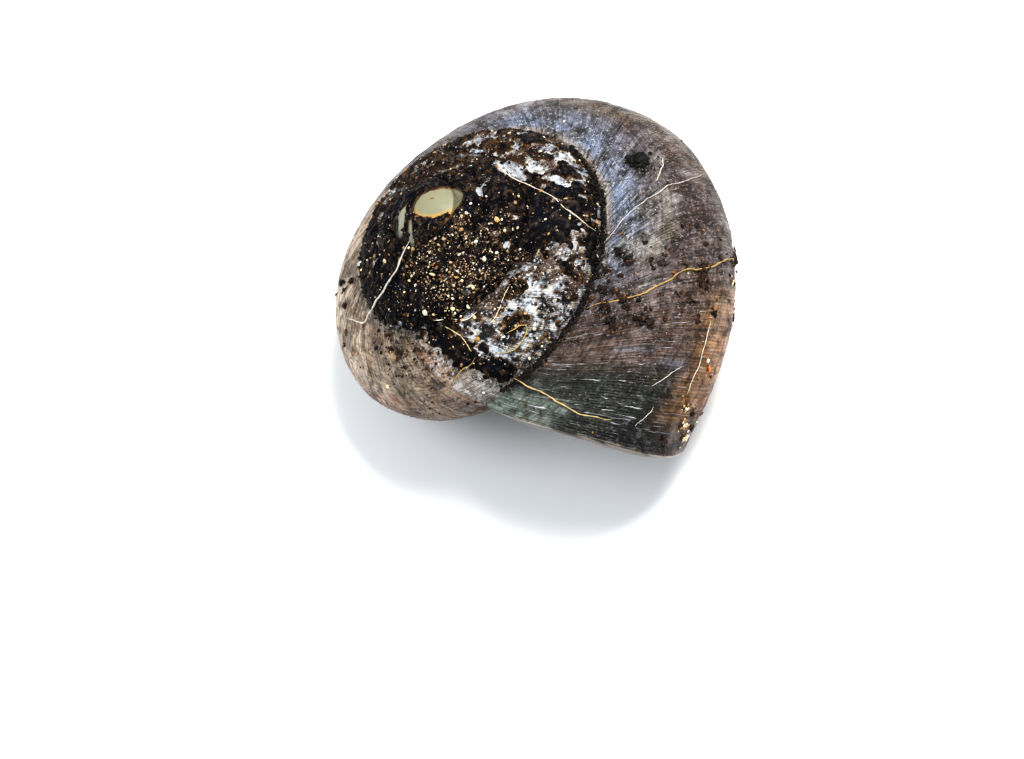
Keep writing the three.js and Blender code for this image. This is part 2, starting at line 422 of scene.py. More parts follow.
def periostracum():
    """Aragonite under a thin horny skin, as grown: a satin gloss, with streaks along the fine growth lines,
    short glints painted on them as pale dashes, pale sparks painted where the skin is glossy, and soil
    worked into the surface."""
    add, finish = new_material("horny_skin_over_aragonite")
    tint = add("ShaderNodeAttribute", output="Color", attribute_name="tint")
    grown = add("ShaderNodeAttribute", output="Vector", attribute_name="grown")
    painted_sparkle, painted_glint, film = (
        add("ShaderNodeAttribute", output="Fac", attribute_name=name) for name in ("painted_sparkle", "painted_glint", "film")
    )
    place = add("ShaderNodeTexCoord", output="Object")

    def grain(vector, scale, detail=4.0, stretch=None, distortion=0.2):
        """Noise, stretched along the growth lines if asked."""
        if stretch:
            vector = add("ShaderNodeMapping", {"Vector": vector, "Scale": stretch})
        sockets = {"Scale": scale, "Detail": detail, "Roughness": 0.62, "Distortion": distortion}
        return add("ShaderNodeTexNoise", {"Vector": vector, **sockets})

    # growth lines are 0.1 to 0.2 mm apart, and scratches and glints half of that; mottling, clouds,
    # flecks and sparks are 0.6, 0.3, 0.12 and 0.07 mm wide
    streak = grain(grown, 1.0, 5.0, (5.5, 0.55, 1.0))
    dash = grain(grown, 1.0, 3.0, (13.0, 1.1, 1.0), 1.3)
    scratch = grain(grown, 1.0, 4.0, (13.0, 1.6, 1.0), 0.6)
    spiral = grain(grown, 1.0, 3.0, (0.9, 9.0, 1.0), 0.5)
    mottle, cloud = grain(place, 1700.0, 7.0), grain(place, 3300.0, 6.0)
    fleck, spark = grain(place, 8500.0, 3.0), grain(place, 15000.0, 3.0)
    ridge = add(
        "ShaderNodeTexWave",
        {"Vector": grown, "Scale": 3.3, "Distortion": 3.2, "Detail": 3.0, "Detail Scale": 1.6},
        output="Fac", wave_type="BANDS", bands_direction="X", wave_profile="SIN",
    )
    thin = add("ShaderNodeMath", {0: film, 1: 0.45}, operation="MULTIPLY")
    # lines darkened everywhere: noise, where it is darkest, where it ends, colour and share; then
    # patches: noise, where one starts, where it is full, share, colour and how it is laid on
    lines = (
        (streak, 0.34, 0.56, "#6b5c50", film), (scratch, 0.36, 0.56, "#5a5450", thin),
        (spiral, 0.38, 0.54, "#5f5852", 0.55),
    )
    patches = (
        (mottle, 0.50, 0.59, 0.65, "#8f6f3c", "MULTIPLY"), (cloud, 0.55, 0.63, 0.55, "#5a4128", "MULTIPLY"),
        (cloud, 0.43, 0.36, 0.13, "#b4b3b8", "MIX"), (fleck, 0.59, 0.66, 0.65, "#352b22", "MULTIPLY"),
        # the pale scratches and dashes are painted glints, most towards the mouth
        (scratch, 0.64, 0.71, painted_glint, "#d3d4da", "MIX"), (dash, 0.66, 0.70, painted_glint, "#d3d4da", "MIX"),
        # pale sparks, painted sparkle of a glossy skin
        (spark, 0.42, 0.36, painted_sparkle, "#d2d4d6", "MIX"),
    )
    layers = []
    for pattern, low, high, dark, share in (*lines, (ridge, 0.0, 1.0, "#4f4944", 0.22)):
        tone = add("ShaderNodeValToRGB", {"Fac": pattern}, stops=((low, dark), (high, "#ffffff")))
        layers.append((share, tone, "MULTIPLY"))
    for pattern, start, full, share, name, mode in patches:
        stops = sorted(((start, "#000000"), (full, "#ffffff")))
        found = add("ShaderNodeValToRGB", {"Fac": pattern}, stops=stops)
        share = add("ShaderNodeMath", {0: found, 1: share}, operation="MULTIPLY")
        layers.insert(-1, (share, rgba(name), mode))
    colour = tint
    for share, layer, mode in layers:
        sockets = {0: share, 6: colour, 7: layer}
        colour = add("ShaderNodeMix", sockets, 2, data_type="RGBA", blend_type=mode)
    soiled = add("ShaderNodeMath", {0: film, 1: 8.0}, operation="MULTIPLY", use_clamp=True)
    colour = add("ShaderNodeMix", {0: soiled, 6: tint, 7: colour}, 2, data_type="RGBA")
    limits = {"From Min": 0.35, "From Max": 0.65, "To Min": 0.3, "To Max": 0.7}
    broken = add("ShaderNodeMath", {0: ridge, 1: fleck}, operation="MULTIPLY")
    bump = {}
    for height, strength, depth in (
        (broken, 0.6, 0.00004), (scratch, 0.6, 0.00004), (mottle, 0.5, 0.00006), (streak, 0.7, 0.00009),
    ):
        sockets = {**bump, "Height": height, "Strength": strength, "Distance": depth}
        bump = {"Normal": add("ShaderNodeBump", sockets)}
    return finish({
        **bump, "Base Color": colour, "Roughness": add("ShaderNodeMapRange", {"Value": mottle, **limits}),
        "IOR": 1.53, "Specular IOR Level": 0.28, "Coat Weight": 0.06, "Coat Roughness": 0.15,
    })


def inner_lime():
    """The polished lime of the mouth and lip, laid down last: smooth, milky and a little glossy."""
    add, finish = new_material("polished_inner_aragonite")
    tint = add("ShaderNodeAttribute", output="Color", attribute_name="tint")
    grown = add("ShaderNodeAttribute", output="Vector", attribute_name="grown")
    stretched = add("ShaderNodeMapping", {"Vector": grown, "Scale": (2.5, 0.35, 1.0)})
    band = add("ShaderNodeTexNoise", {"Vector": stretched, "Scale": 1.0, "Detail": 4.0, "Roughness": 0.55})
    tone = add("ShaderNodeValToRGB", {"Fac": band}, stops=((0.25, "#c9c2c2"), (0.7, "#ffffff")))
    colour = add("ShaderNodeMix", {0: 1.0, 6: tint, 7: tone}, 2, data_type="RGBA", blend_type="MULTIPLY")
    return finish({
        "Base Color": colour, "Roughness": 0.3, "IOR": 1.6, "Coat Weight": 0.3, "Coat Roughness": 0.12,
        "Normal": add("ShaderNodeBump", {"Height": band, "Strength": 0.3, "Distance": 0.00004}),
    })


# ==== The shell wall ====
def skin_numbers(steps, first_open, full):
    """Vertex numbers of the outer skin: the edge of one whorl is the suture of the next, so that
    column repeats. Cells that no whorl shows hold -1."""
    ids = np.full((steps + 1, full + 1), -1)
    used = np.ones_like(ids, bool)
    used[:first_open, ROOF_CELLS + 1 :] = False
    shared = SPT - LAG_CELLS
    used[shared:, 0] = False
    ids[used] = np.arange(used.sum())
    for i in range(shared, steps + 1):
        ids[i, 0] = ids[i - shared, ROOF_CELLS]
    return ids, used


def growth_relief(points, stage, u):
    """Height over the smooth surface, in mm: growth lines as noise along the stage with little
    change across, long swells, and none at the suture."""
    along = unrolled(stage, u, across=0.9)
    lines = 0.016 * noise(along, 0.34, 21, 3) + 0.008 * noise(along, 0.12, 23, 1)
    swell = 0.035 * noise(points, 1.5, 25, 2)
    near_lip = 1 + 1.2 * np.exp(np.minimum(stage, 0) / math.radians(10))
    whorl = np.exp(GROWTH * stage)
    return (lines * near_lip + swell) * whorl * step(u, 0.0, 0.12)


# Stains and marks on the last whorl, with bluish patches below the suture that are painted highlights:
# stage in degrees, u, radius in mm, colour and strength.
STAINS_AND_PAINTED_HIGHLIGHTS = (
    (-92, 0.36, 0.42, "#3b3526", 0.8), (-84, 0.40, 0.20, "#413a2a", 0.6),
    (-80, 0.85, 0.16, "#7a5230", 0.7), (-121, 0.66, 0.30, "#4f4c33", 0.6),
    (-110, 0.74, 0.34, "#3d2b20", 0.7), (-103, 0.82, 0.30, "#3d2b20", 0.7),
    (-117, 0.64, 0.34, "#41301f", 0.7), (-125, 0.56, 0.25, "#44331f", 0.6),
    (-62, 0.80, 0.34, "#4a352a", 0.55), (-68, 0.62, 0.30, "#54443d", 0.5),
    (-57, 0.36, 0.30, "#4c3524", 0.55), (-48, 0.26, 0.34, "#452f1f", 0.55),
    (-48, 0.78, 0.26, "#5b3c22", 0.7), (-38, 0.36, 0.26, "#4a3322", 0.5),
    # the bluish rows at -135, -128, -146 and -112 degrees are painted highlights
    (-54, 1.16, 0.24, "#6b4a2c", 0.6), (-135, 0.19, 0.26, "#9aa3b5", 0.6),
    (-128, 0.10, 0.26, "#98a0b0", 0.6), (-146, 0.26, 0.30, "#8b93a3", 0.5),
    (-112, 0.14, 0.30, "#8f99a9", 0.5), (-298, 0.80, 0.20, "#a05f33", 0.6),
    (-288, 0.84, 0.12, "#b06a35", 0.6), (-276, 0.41, 0.30, "#5e564b", 0.5),
    (-240, 0.60, 0.26, "#4d4b33", 0.5), (-225, 0.66, 0.28, "#4a4a38", 0.5),
    (-252, 0.20, 0.30, "#2f2a22", 0.6), (-244, 0.10, 0.26, "#3a2f24", 0.6),
    (-310, 0.30, 0.20, "#c9a06a", 0.4),
)


def shell_tint(points, stage, u):
    """The shell's colour at each vertex, with painted shade in the suture and behind the lip and painted
    bluish reflections and highlights below the suture; how strongly painted pale sparks show where the skin
    is meant to be glossy; and how strongly painted glints show: named colours laid over each other by zones
    of growth, and broken up by noise."""
    degrees = np.degrees(stage)
    streak = noise(unrolled(stage, u, across=1.6), 0.42, 33, 3)
    smear = noise(unrolled(stage, u, 2.2, 8.0), 0.5, 55, 3)
    wander = noise(points, 1.1, 31, 3)
    drift = noise(points, 2.4, 37, 2)
    fine = noise(points, 0.20, 39, 3)
    at = outside(stage, u)

    def near(mark, place, radius):
        """1 at a place on the shell, 0 at the given distance from it."""
        return 1 - np.linalg.norm(at - outside(math.radians(mark), place), axis=-1) / radius

    body = degrees > -360 + math.degrees(EDGE_LAG)
    # bluish grey below the suture: partly the skin's own colour, partly a painted bluish reflection
    bluish_tone_and_sheen = step(-u, -0.50, -0.10) * between(degrees, -185, -150, -80, -40)
    brown = step(u + 0.4 * wander, 0.30, 0.75) * between(degrees, -215, -150, -90, -55)
    olive = step(u, 0.5, 0.7) * between(degrees, -160, -130, -60, -40)
    cream = step(-u, -0.65, -0.4) * between(degrees, -112, -90, -62, -48)
    left = step(-degrees, 195, 235)
    pink = step(-degrees, 235, 262) * step(u + 0.2 * wander, 0.6, 0.95) * step(-u, -1.25, -1.0)
    front = step(degrees + 9 * wander, -30, -13)
    dark = step(degrees + 4 * wander, -12, -6) * between(u, 0.50, 0.78, 0.98, 1.12)
    rosy = step(u + 0.08 * wander, 0.84, 1.0) * step(degrees, -50, -36) * step(-u, -1.5, -1.25)
    # painted shade in the groove just behind the lip
    groove_shade_behind_lip = step(degrees + 1.5 * fine, -3.6, -2.8) * step(-degrees, 0.9, 1.8)
    layers = [
        ("#948c92", 0.6 * step(streak, 0.0, 0.45)),
        ("#5c4733", 0.8 * step(wander, 0.0, 0.5)),
        # the bluish tone with its painted reflection
        ("#8fa0bc", bluish_tone_and_sheen * (0.7 + 0.5 * wander)),
        ("#634a30", 0.9 * brown),
        ("#533819", 0.8 * step(drift + 0.6 * wander, 0.1, 0.5) * step(u, 0.35, 0.7)),
        ("#54381c", 0.75 * step(smear, 0.10, 0.35) * olive),
        ("#f4dec4", 0.95 * left),
        ("#b79c7e", 0.6 * left * step(streak, -0.1, 0.3)),
        ("#cfa595", 0.6 * pink),
        ("#86735f", 0.6 * step(-degrees, 286, 304)),
        ("#544e48", 0.8 * step(u, 1.05, 1.3) * step(-degrees, 150, 200)),
        ("#cdbfae", 0.9 * step(-u, -0.090 - 0.03 * wander, -0.04) * step(-degrees, 62, 90)),
        ("#3c332c", 0.8 * step(-fine - 0.3 * wander, 0.30, 0.50)),
        ("#aaa592", 0.45 * step(noise(points, 0.5, 53, 3), 0.05, 0.35) * cream),
        ("#aca6a4", 0.5 * step(fine + 0.6 * streak, 0.38, 0.62)),
        # towards the mouth: darker and greener, then a rosy band along the outer lip
        ("#705b4e", 0.8 * step(degrees, -62, -34)),
        ("#8f8d9e", 0.7 * between(degrees, -45, -30, -26, -14) * step(streak, 0.05, 0.4)),
        ("#343832", front * step(-u, -1.05, -0.80)),
        ("#121412", 0.85 * dark),
        ("#8b9890", 0.7 * step(degrees + 3 * wander, -14, -8) * step(-u, -0.45, -0.30)),
        ("#a57c4e", 0.9 * rosy * step(-degrees, 6, 13)),
        ("#bd9170", 0.65 * rosy * step(u, 1.0, 1.12) * step(-degrees, 6, 12)),
        ("#5b5659", 0.8 * step(u, 1.12, 1.4) * step(-degrees, 40, 80)),
    ]
    # stains, and the painted highlights among them
    layers += [
        (name, share * step(near(mark, place, radius) + 0.55 * fine, 0.0, 0.5))
        for mark, place, radius, name, share in STAINS_AND_PAINTED_HIGHLIGHTS
    ]
    layers += [
        ("#2a180a", 0.92 * step(near(mark, place, 1.9 * spread) + 0.9 * fine, 0.05, 0.4))
        for mark, place, spread, _ in CLUMPS
    ]
    layers += [
        # the painted shade in the groove behind the lip
        ("#0d0b09", 0.85 * groove_shade_behind_lip * between(u, 0.35, 0.6, 1.15, 1.35)),
        ("#b9b0a2", 0.6 * step(degrees + 0.6 * fine, -0.9, -0.3) * step(fine + 0.4, 0.1, 0.5)),
        # the suture is a groove where the last whorl meets the spire; the shade in it is painted as a dark
        # line
        ("#100b08", step(-u, -0.042, -0.020) * between(degrees, -150, -110, -10, -4)),
    ]
    colour = laid_over(np.broadcast_to(linear("#706468"), points.shape), body, layers)

    # the bare patches of the spire: bluish white where worn, greenish cream on the first whorl
    spire = ~body
    crown = points[..., 2] > -0.95
    cap = patch(points, BARE_CAP)
    yellow = step(cap + 0.2 * fine, -0.5, -0.15) * step(-cap, -0.22, 0.03) * step(points[..., 0], 0.0, 0.5)
    layers = [
        ("#ced5df", 1.0),
        ("#f1f6ff", step(noise(points, 0.24, 43, 3), 0.0, 0.3)),
        ("#7f8894", 0.7 * step(noise(points, 0.35, 45, 3), 0.05, 0.3)),
        ("#efe4c8", 0.8 * step(noise(points, 0.15, 47, 3), 0.12, 0.34)),
        ("#5f4025", 0.9 * step(noise(points, 0.22, 49, 3), 0.02, 0.18)),
        ("#15110f", step(noise(points, 0.17, 41, 3), 0.13, 0.25)),
        # painted shade: a dark line along the lower edge of the last whorl but one, in the suture groove
        ("#17100c", step(u + 0.03 * fine, 0.955, 0.975) * between(degrees, -505, -470, -350, -336)),
        ("#c2b5a8", 0.6 * between(degrees, -352, -340, -300, -268)),
        ("#9c6438", np.clip(1.6 * patch(points, (3.12, -1.0, 0.55, 0.3, 70)) + 0.5 * fine, 0, 0.7)),
        ("#b18c68", np.clip(1.6 * patch(points, (3.6, -0.6, 0.5, 0.3, 80)) + 0.5 * fine, 0, 0.5)),
        (PLAQUE, crown * step(cap, -0.6, -0.2)),
        ("#17110d", crown * step(-cap - 0.1 * fine, -0.02, 0.10)),
        ("#b08a3c", 0.9 * crown * yellow),
        ("#6e2318", crown * step(patch(points, (0.0, 0.34, 0.032, 0.032, 0)), -0.3, 0.3)),
    ]
    layers += [
        ("#918e7c" if spot[1] < 0.5 else "#e6ecf4", step(patch(points, spot) + 0.4 * fine, -0.2, 0.15))
        for spot in BARE_STRIPS
    ]
    layers.append(("#6f5a3e", 0.7 * crown * step(fine, 0.3, 0.5) * step(-cap, 0.0, 0.2)))
    colour = laid_over(colour, spire, layers)
    # painted sparkle: how strongly pale sparks, painted glints of a glossy skin, show; most on the spire
    # and where the skin is bluish
    painted_sparkle = 0.25 + 0.60 * spire + 0.35 * body * bluish_tone_and_sheen - 0.15 * step(degrees, -45, -25)
    # painted glints: where pale dashes stand in for glints on the growth lines, most towards the mouth
    painted_glint_zone = step(degrees + 14 * wander, -40, -24) * step(-degrees, 1.5, 6) * step(-u, -1.0, -0.8)
    # the colour, then the shares of painted sparks and of painted glints
    return colour, np.clip(painted_sparkle, 0, 1), body * (0.3 + 0.6 * painted_glint_zone)


def shell_wall(wall, callus):
    """The whole shell as one closed skin: outer surface, rounded lip, hollow whorl and pillar."""
    steps = round(SPIRE_TURNS * SPT)
    first_open = steps - SPT + LAG_CELLS
    full = ROOF_CELLS + BASE_CELLS
    base_across = 1 + np.linspace(0, 1, BASE_CELLS + 1)
    across = np.concatenate([np.linspace(0, 1, ROOF_CELLS + 1), base_across[1:]])
    ids, used = skin_numbers(steps, first_open, full)
    stage, u = np.meshgrid((np.arange(steps + 1) - steps) * TURN / SPT, across, indexing="ij")
    stage, u = stage[used], u[used]
    base = outside(stage, u)
    skin = worn(base + outward(stage, u) * growth_relief(base, stage, u)[:, None])
    tint, painted_sparkle, painted_glint = shell_tint(base, stage, u)
    faces = [cells(ids[: first_open + 1, : ROOF_CELLS + 1]), cells(ids[first_open:, :])]

    points, tints, painted_sparkles, painted_glints = [skin], [tint], [painted_sparkle], [painted_glint]
    grown = [unrolled(stage, u)]
    count = len(skin)

    def ring(where, colour, painted_sparkle_share, at_stage, at_u):
        """Adds a loop of vertices and returns its numbers."""
        nonlocal count
        points.append(where)
        tints.append(np.broadcast_to(colour, where.shape))
        painted_sparkles.append(np.broadcast_to(painted_sparkle_share, len(where)))
        painted_glints.append(np.zeros(len(where)))
        grown.append(unrolled(at_stage, at_u))
        count += len(where)
        return np.arange(count - len(where), count)

    # the nucleus: rings drawn in from the first turn of suture to a low dome
    rim = np.concatenate([ids[: SPT - LAG_CELLS, 0], ids[0, ROOF_CELLS:0:-1]])
    edge, loop = skin[rim], rim
    for k in range(1, NUCLEUS_RINGS):
        t = 1 - k / NUCLEUS_RINGS
        where = np.column_stack([edge[:, :2] * t, mix(NUCLEUS_TOP, edge[:, 2], t * t)])
        whole = np.full(len(where), 1.0)
        colour, _, _ = shell_tint(where, -SPIRE_TURNS * TURN * whole, 0.5 * whole)
        inner = ring(where, colour, 0.34, 0.01 * where[:, 0], 0.02 * where[:, 1])
        faces.append(rounds(loop, inner))
        loop = inner
    nucleus = np.arange(len(skin), count)
    tip = ring(np.array([[0, 0, NUCLEUS_TOP]]), linear(PLAQUE), 0.34, np.zeros(1), np.zeros(1))
    faces.append(fan(loop, tip[0]))
    # the pad at the navel: a fan to the axis
    foot = ring(np.array([[0, 0, -NAVEL_DEPTH]]), linear("#a79f9b"), 0.3, np.zeros(1), np.full(1, 2.0))
    faces.append(fan(ids[first_open:, full][::-1], foot[0]))
    outer_faces = sum(len(f) for f in faces)

    # the mouth: the lip turns in over a half round, and the hollow runs back from it
    lip, parietal = ids[steps, :], ids[first_open, full:ROOF_CELLS:-1]
    loop = np.concatenate([lip, parietal])
    inner_u = mix(HOLLOW_TOP, PILLAR_END, across / 2)
    before_u = mix(GLAZE_TOP, PILLAR_END, across[full:ROOF_CELLS:-1] - 1)
    lip_colour, deep_colour = linear("#756e68"), linear("#8f868c")
    inwards = -np.arange(1, int(HOLLOW_TURNS * SPT / 2) + 1) * 2 * TURN / SPT
    for k, at in enumerate([*[0.0] * LIP_ROUNDS, *inwards]):
        turned = min(1.0, (k + 1) / LIP_ROUNDS)
        thick = wall * math.exp(GROWTH * at)
        own_u = mix(across, inner_u, turned)
        swing = math.pi * turned
        inward = thick * (1 - math.cos(swing)) / 2
        bulge = np.sin(math.pi * np.clip(across, 0, 2) / 2) ** 0.5
        forward = LIP_BULGE * thick * math.sin(swing) * bulge
        own = outside(at, own_u) - outward(at, own_u) * inward
        own = own + onward(at, own_u) * forward[:, None]
        prior = at - HOLLOW_LAG * turned - TURN + EDGE_LAG
        other_u = mix(across[full:ROOF_CELLS:-1], before_u, turned)
        other = outside(prior, other_u) + outward(prior, other_u) * callus * step(turned, 0, 1)
        where = np.concatenate([own, other])
        at_stage = np.concatenate([np.full(full + 1, at), np.full(len(other_u), prior)])
        colour = mix(lip_colour, deep_colour, step(-at, 0.02, 0.9))
        colour = colour * (1 + 0.05 * noise(where, 0.8, 51, 2)[:, None])
        inner = ring(where, colour, 0.25, at_stage, np.concatenate([own_u, other_u]))
        faces.append(rounds(loop, inner))
        loop = inner
    end = ring(points[-1].mean(0)[None, :], deep_colour, 0.3, np.zeros(1), np.zeros(1))
    faces.append(fan(loop, end[0]))
    slots = np.zeros(sum(len(f) for f in faces), int)
    slots[outer_faces:] = 1
    tint = np.clip(np.concatenate(tints), 0, 1)
    grown, every = np.concatenate(grown), np.concatenate(points)
    on_body = grown[:, 0] > GROWN_ALONG * (EDGE_LAG - TURN)
    film = np.where(on_body, FILM_ON_BODY, FILM_ON_SPIRE)
    film[nucleus], film[tip] = 0.0, 0.0
    film[(patch(every, BARE_CAP) > -0.2) & (every[:, 2] > -1.2)] = 0.0
    obj = new_mesh(
        "shell_wall", worn(every), faces, [periostracum(), inner_lime()],
        floats={"painted_sparkle": np.concatenate(painted_sparkles), "painted_glint": np.concatenate(painted_glints), "film": film},
        vectors={"grown": grown, "tint": tint}, slots=slots,
    )
    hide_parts("shell")


# ==== Places on the spire ====
def place_at(x, y):
    """The stage and u of the roof seen along the axis at x and y: the turn whose sutures lie on
    either side, then halving steps along its roof curve."""
    radius = max(math.hypot(x, y), 0.75)
    angle = math.atan2(-y, x)
    angle += TURN * math.floor((math.log(radius / SUTURE_RADIUS) / GROWTH - angle) / TURN)
    upper = SUTURE_RADIUS * math.exp(GROWTH * angle)
    lower = upper * WHORL_RATIO
    low, high = 0.0, 1.0
    for _ in range(24):
        u = (low + high) / 2
        middle = mix(upper, lower, ROOF_OUT)
        here = (1 - u) ** 2 * upper + 2 * u * (1 - u) * middle + u * u * lower
        low, high = (u, high) if here < radius else (low, u)
    return angle + float(lag(u)), u


def on_skin(places):
    """Points and outward directions for places given in degrees of stage and u."""
    places = np.asarray(places, float)
    stage, u = np.radians(places[:, 0]), places[:, 1]
    return outside(stage, u), outward(stage, u)


def seen_from_above(*pairs):
    """Places in degrees and u for points given as x and y along the axis."""
    found = [place_at(x, y) for x, y in pairs]
    return [(math.degrees(stage), u) for stage, u in found]


# ==== Soil on the spire ====
def soil_height(points, clear):
    """Height of the soil: crumbs and lumps of several sizes, thinning out where it is worn off."""
    lumps = 0.5 + 0.5 * noise(points, 0.42, 61, 2)
    crumbs = noise(points, 0.13, 63, 2)
    height = 0.018 + 0.062 * lumps + 0.030 * crumbs + 0.012 * noise(points, 0.045, 65, 1)
    thin = step(-clear, -0.02, 0.35)
    return np.where(clear > 0.02, SOIL_GONE, mix(-0.012, np.maximum(height, 0.012), thin))


def soil_tint(points, clear):
    """Near-black humus with a blue cast, browner and sandier where it thins."""
    low = step(-points[..., 0], 0.9, 1.8)
    return laid_over(np.broadcast_to(linear("#090a10"), points.shape), 1, (
        ("#1f140e", 0.55 * step(noise(points, 0.6, 71, 3), 0.1, 0.45)),
        ("#11151f", 0.9 * step(noise(points, 0.3, 73, 2), 0.0, 0.35)),
        ("#4c4038", 0.8 * step(noise(points, 0.10, 75, 2), 0.12, 0.42)),
        ("#5a4430", 0.8 * low * step(noise(points, 0.35, 83, 3), -0.05, 0.25)),
        ("#6a4c2e", 0.9 * step(clear, -0.26, -0.02)),
        ("#937a58", step(clear, -0.10, 0.0) * step(noise(points, 0.12, 77, 2), -0.1, 0.3)),
    ))


def slab(base, normal, height, depth):
    """Vertices and faces of a closed sheet over a grid of points: a top at the given heights, a
    bottom at one depth, and sides."""
    rows, columns = height.shape
    top = base + normal * height[..., None]
    bottom = base - normal * depth
    ids = np.arange(rows * columns).reshape(rows, columns)
    under = ids + rows * columns
    border = np.concatenate([ids[0, :-1], ids[:-1, -1], ids[-1, :0:-1], ids[:0:-1, 0]])
    faces = [cells(ids), cells(under)[:, ::-1], rounds(border, border + rows * columns)[:, ::-1]]
    return np.concatenate([top.reshape(-1, 3), bottom.reshape(-1, 3)]), faces


def roof_grid(first_degrees, last_degrees, spacing):
    """A grid over the roofs of the whorls between two stages, with rows as far apart as the spacing
    on a whorl that grows: points, outward directions and how bare it is."""
    first, last = (math.exp(GROWTH * math.radians(d)) for d in (first_degrees, last_degrees))
    size = 0.8 * SUTURE_RADIUS * WHORL_RATIO
    stage = np.log(np.linspace(first, last, int(size * (last - first) / GROWTH / spacing))) / GROWTH
    width = SUTURE_RADIUS * last * (WHORL_RATIO - 1) * 1.12
    s, u = np.meshgrid(stage, np.linspace(0.0, 1.0, int(width / spacing)), indexing="ij")
    base = outside(s, u)
    # the outer suture stays an open groove, and the soil ends raggedly before it
    open_groove = step(u, 0.90, 0.99) * step(s, math.radians(-722), math.radians(-700))
    ending = step(s, math.radians(-345), math.radians(-331))
    return base, outward(s, u), bare(base, s, u) + 1.2 * open_groove + 1.5 * ending


def dome_grid():
    """The same over the nucleus."""
    side = np.linspace(-DOME_HALF, DOME_HALF, DOME_POINTS)
    x, y = np.meshgrid(side, side, indexing="ij")
    radius = np.hypot(x, y)
    rim_radius = SUTURE_RADIUS * math.exp(-GROWTH * TURN * (SPIRE_TURNS - 0.4))
    base = np.stack([x, y, NUCLEUS_TOP - DOME_DROP * (radius / rim_radius) ** 2], -1)
    slope = 2 * DOME_DROP
    normal = unit(np.stack([slope * x, slope * y, np.ones_like(x)], -1))
    clear = bare(base, np.full(x.shape, -SPIRE_TURNS * TURN), np.full(x.shape, 0.5))
    return base, normal, np.where(radius > DOME_RADIUS, 1.0, clear)


def spire_soil(name, grids, material):
    """Soil over the grids, as one piece."""
    parts, tints, dust = [], [], []
    for base, normal, clear in grids:
        height = soil_height(base, clear)
        height[[0, -1], :] = SOIL_END
        parts.append(slab(base, normal, height, SOIL_DEPTH))
        tints += [soil_tint(base, clear).reshape(-1, 3)] * 2
        dust += [np.clip(sandy(base), 0, 1).ravel()] * 2
    floats, vectors = {"dusty": np.concatenate(dust)}, {"tint": np.concatenate(tints)}
    new_mesh(name, *joined(parts), [material], floats=floats, vectors=vectors)


def sandy(points):
    """How sandy the soil is: most in the middle of the side that faces the front."""
    return patch(points, (1.45, 0.65, 2.5, 1.8, 60)) * 1.5 + 0.6 * noise(points, 0.5, 79, 2)


def soil_material():
    """Humus and clay: dull and dark, with pale dust in places and wet-looking crumbs. Its grains are
    0.08 mm wide and its lumps 0.2 mm, as coarse as the picture needs to show them."""
    add, finish = new_material("humus_and_clay")
    colour = add("ShaderNodeAttribute", output="Color", attribute_name="tint")
    dusty = add("ShaderNodeAttribute", output="Fac", attribute_name="dusty")
    place = add("ShaderNodeTexCoord", output="Object")
    grain, lump = (
        add("ShaderNodeTexNoise", {"Vector": place, "Scale": scale, "Detail": 3.0, "Roughness": rough})
        for scale, rough in ((13000.0, 0.7), (5200.0, 0.6))
    )
    raised = add("ShaderNodeMath", {0: dusty, 1: 0.10}, operation="MULTIPLY")
    raised = add("ShaderNodeMath", {0: raised, 1: grain}, operation="ADD")
    for low, high, dust in ((0.645, 0.70, "#6d5439"), (0.71, 0.74, "#d9c8ac")):
        stops = ((low, "#000000"), (high, "#ffffff"))
        share = add("ShaderNodeValToRGB", {"Fac": raised}, stops=stops)
        colour = add("ShaderNodeMix", {0: share, 6: colour, 7: rgba(dust)}, 2, data_type="RGBA")
    tone = add("ShaderNodeValToRGB", {"Fac": lump}, stops=((0.35, "#4a4a58"), (0.6, "#ffffff")))
    limits = {"From Min": 0.4, "From Max": 0.6, "To Min": 0.45, "To Max": 0.95}
    colour = add("ShaderNodeMix", {0: 0.8, 6: colour, 7: tone}, 2, data_type="RGBA", blend_type="MULTIPLY")
    bump = {}
    for height, strength, depth in ((lump, 1.0, 0.00009), (grain, 0.9, 0.00003)):
        sockets = {**bump, "Height": height, "Strength": strength, "Distance": depth}
        bump = {"Normal": add("ShaderNodeBump", sockets)}
    return finish({
        **bump, "Base Color": colour, "Roughness": add("ShaderNodeMapRange", {"Value": lump, **limits}),
        "Specular IOR Level": 0.12,
    })


# ==== Grains, crumbs and clumps ====
def icosahedron():
    """Corners and faces of a regular icosahedron, one in radius."""
    g = (1 + math.sqrt(5)) / 2
    corners = [(0, a, b * g) for a in (-1, 1) for b in (-1, 1)]
    corners = corners + [(z, x, y) for x, y, z in corners] + [(y, z, x) for x, y, z in corners]
    corners = unit(np.array(corners, float))
    faces = []
    for trio in itertools.combinations(range(12), 3):
        a, b, c = (corners[n] for n in trio)
        if max(np.linalg.norm(a - b), np.linalg.norm(b - c), np.linalg.norm(c - a)) < 1.1:
            outwards = np.dot(np.cross(b - a, c - a), a) > 0
            faces.append(trio if outwards else trio[::-1])
    return corners, np.array(faces)


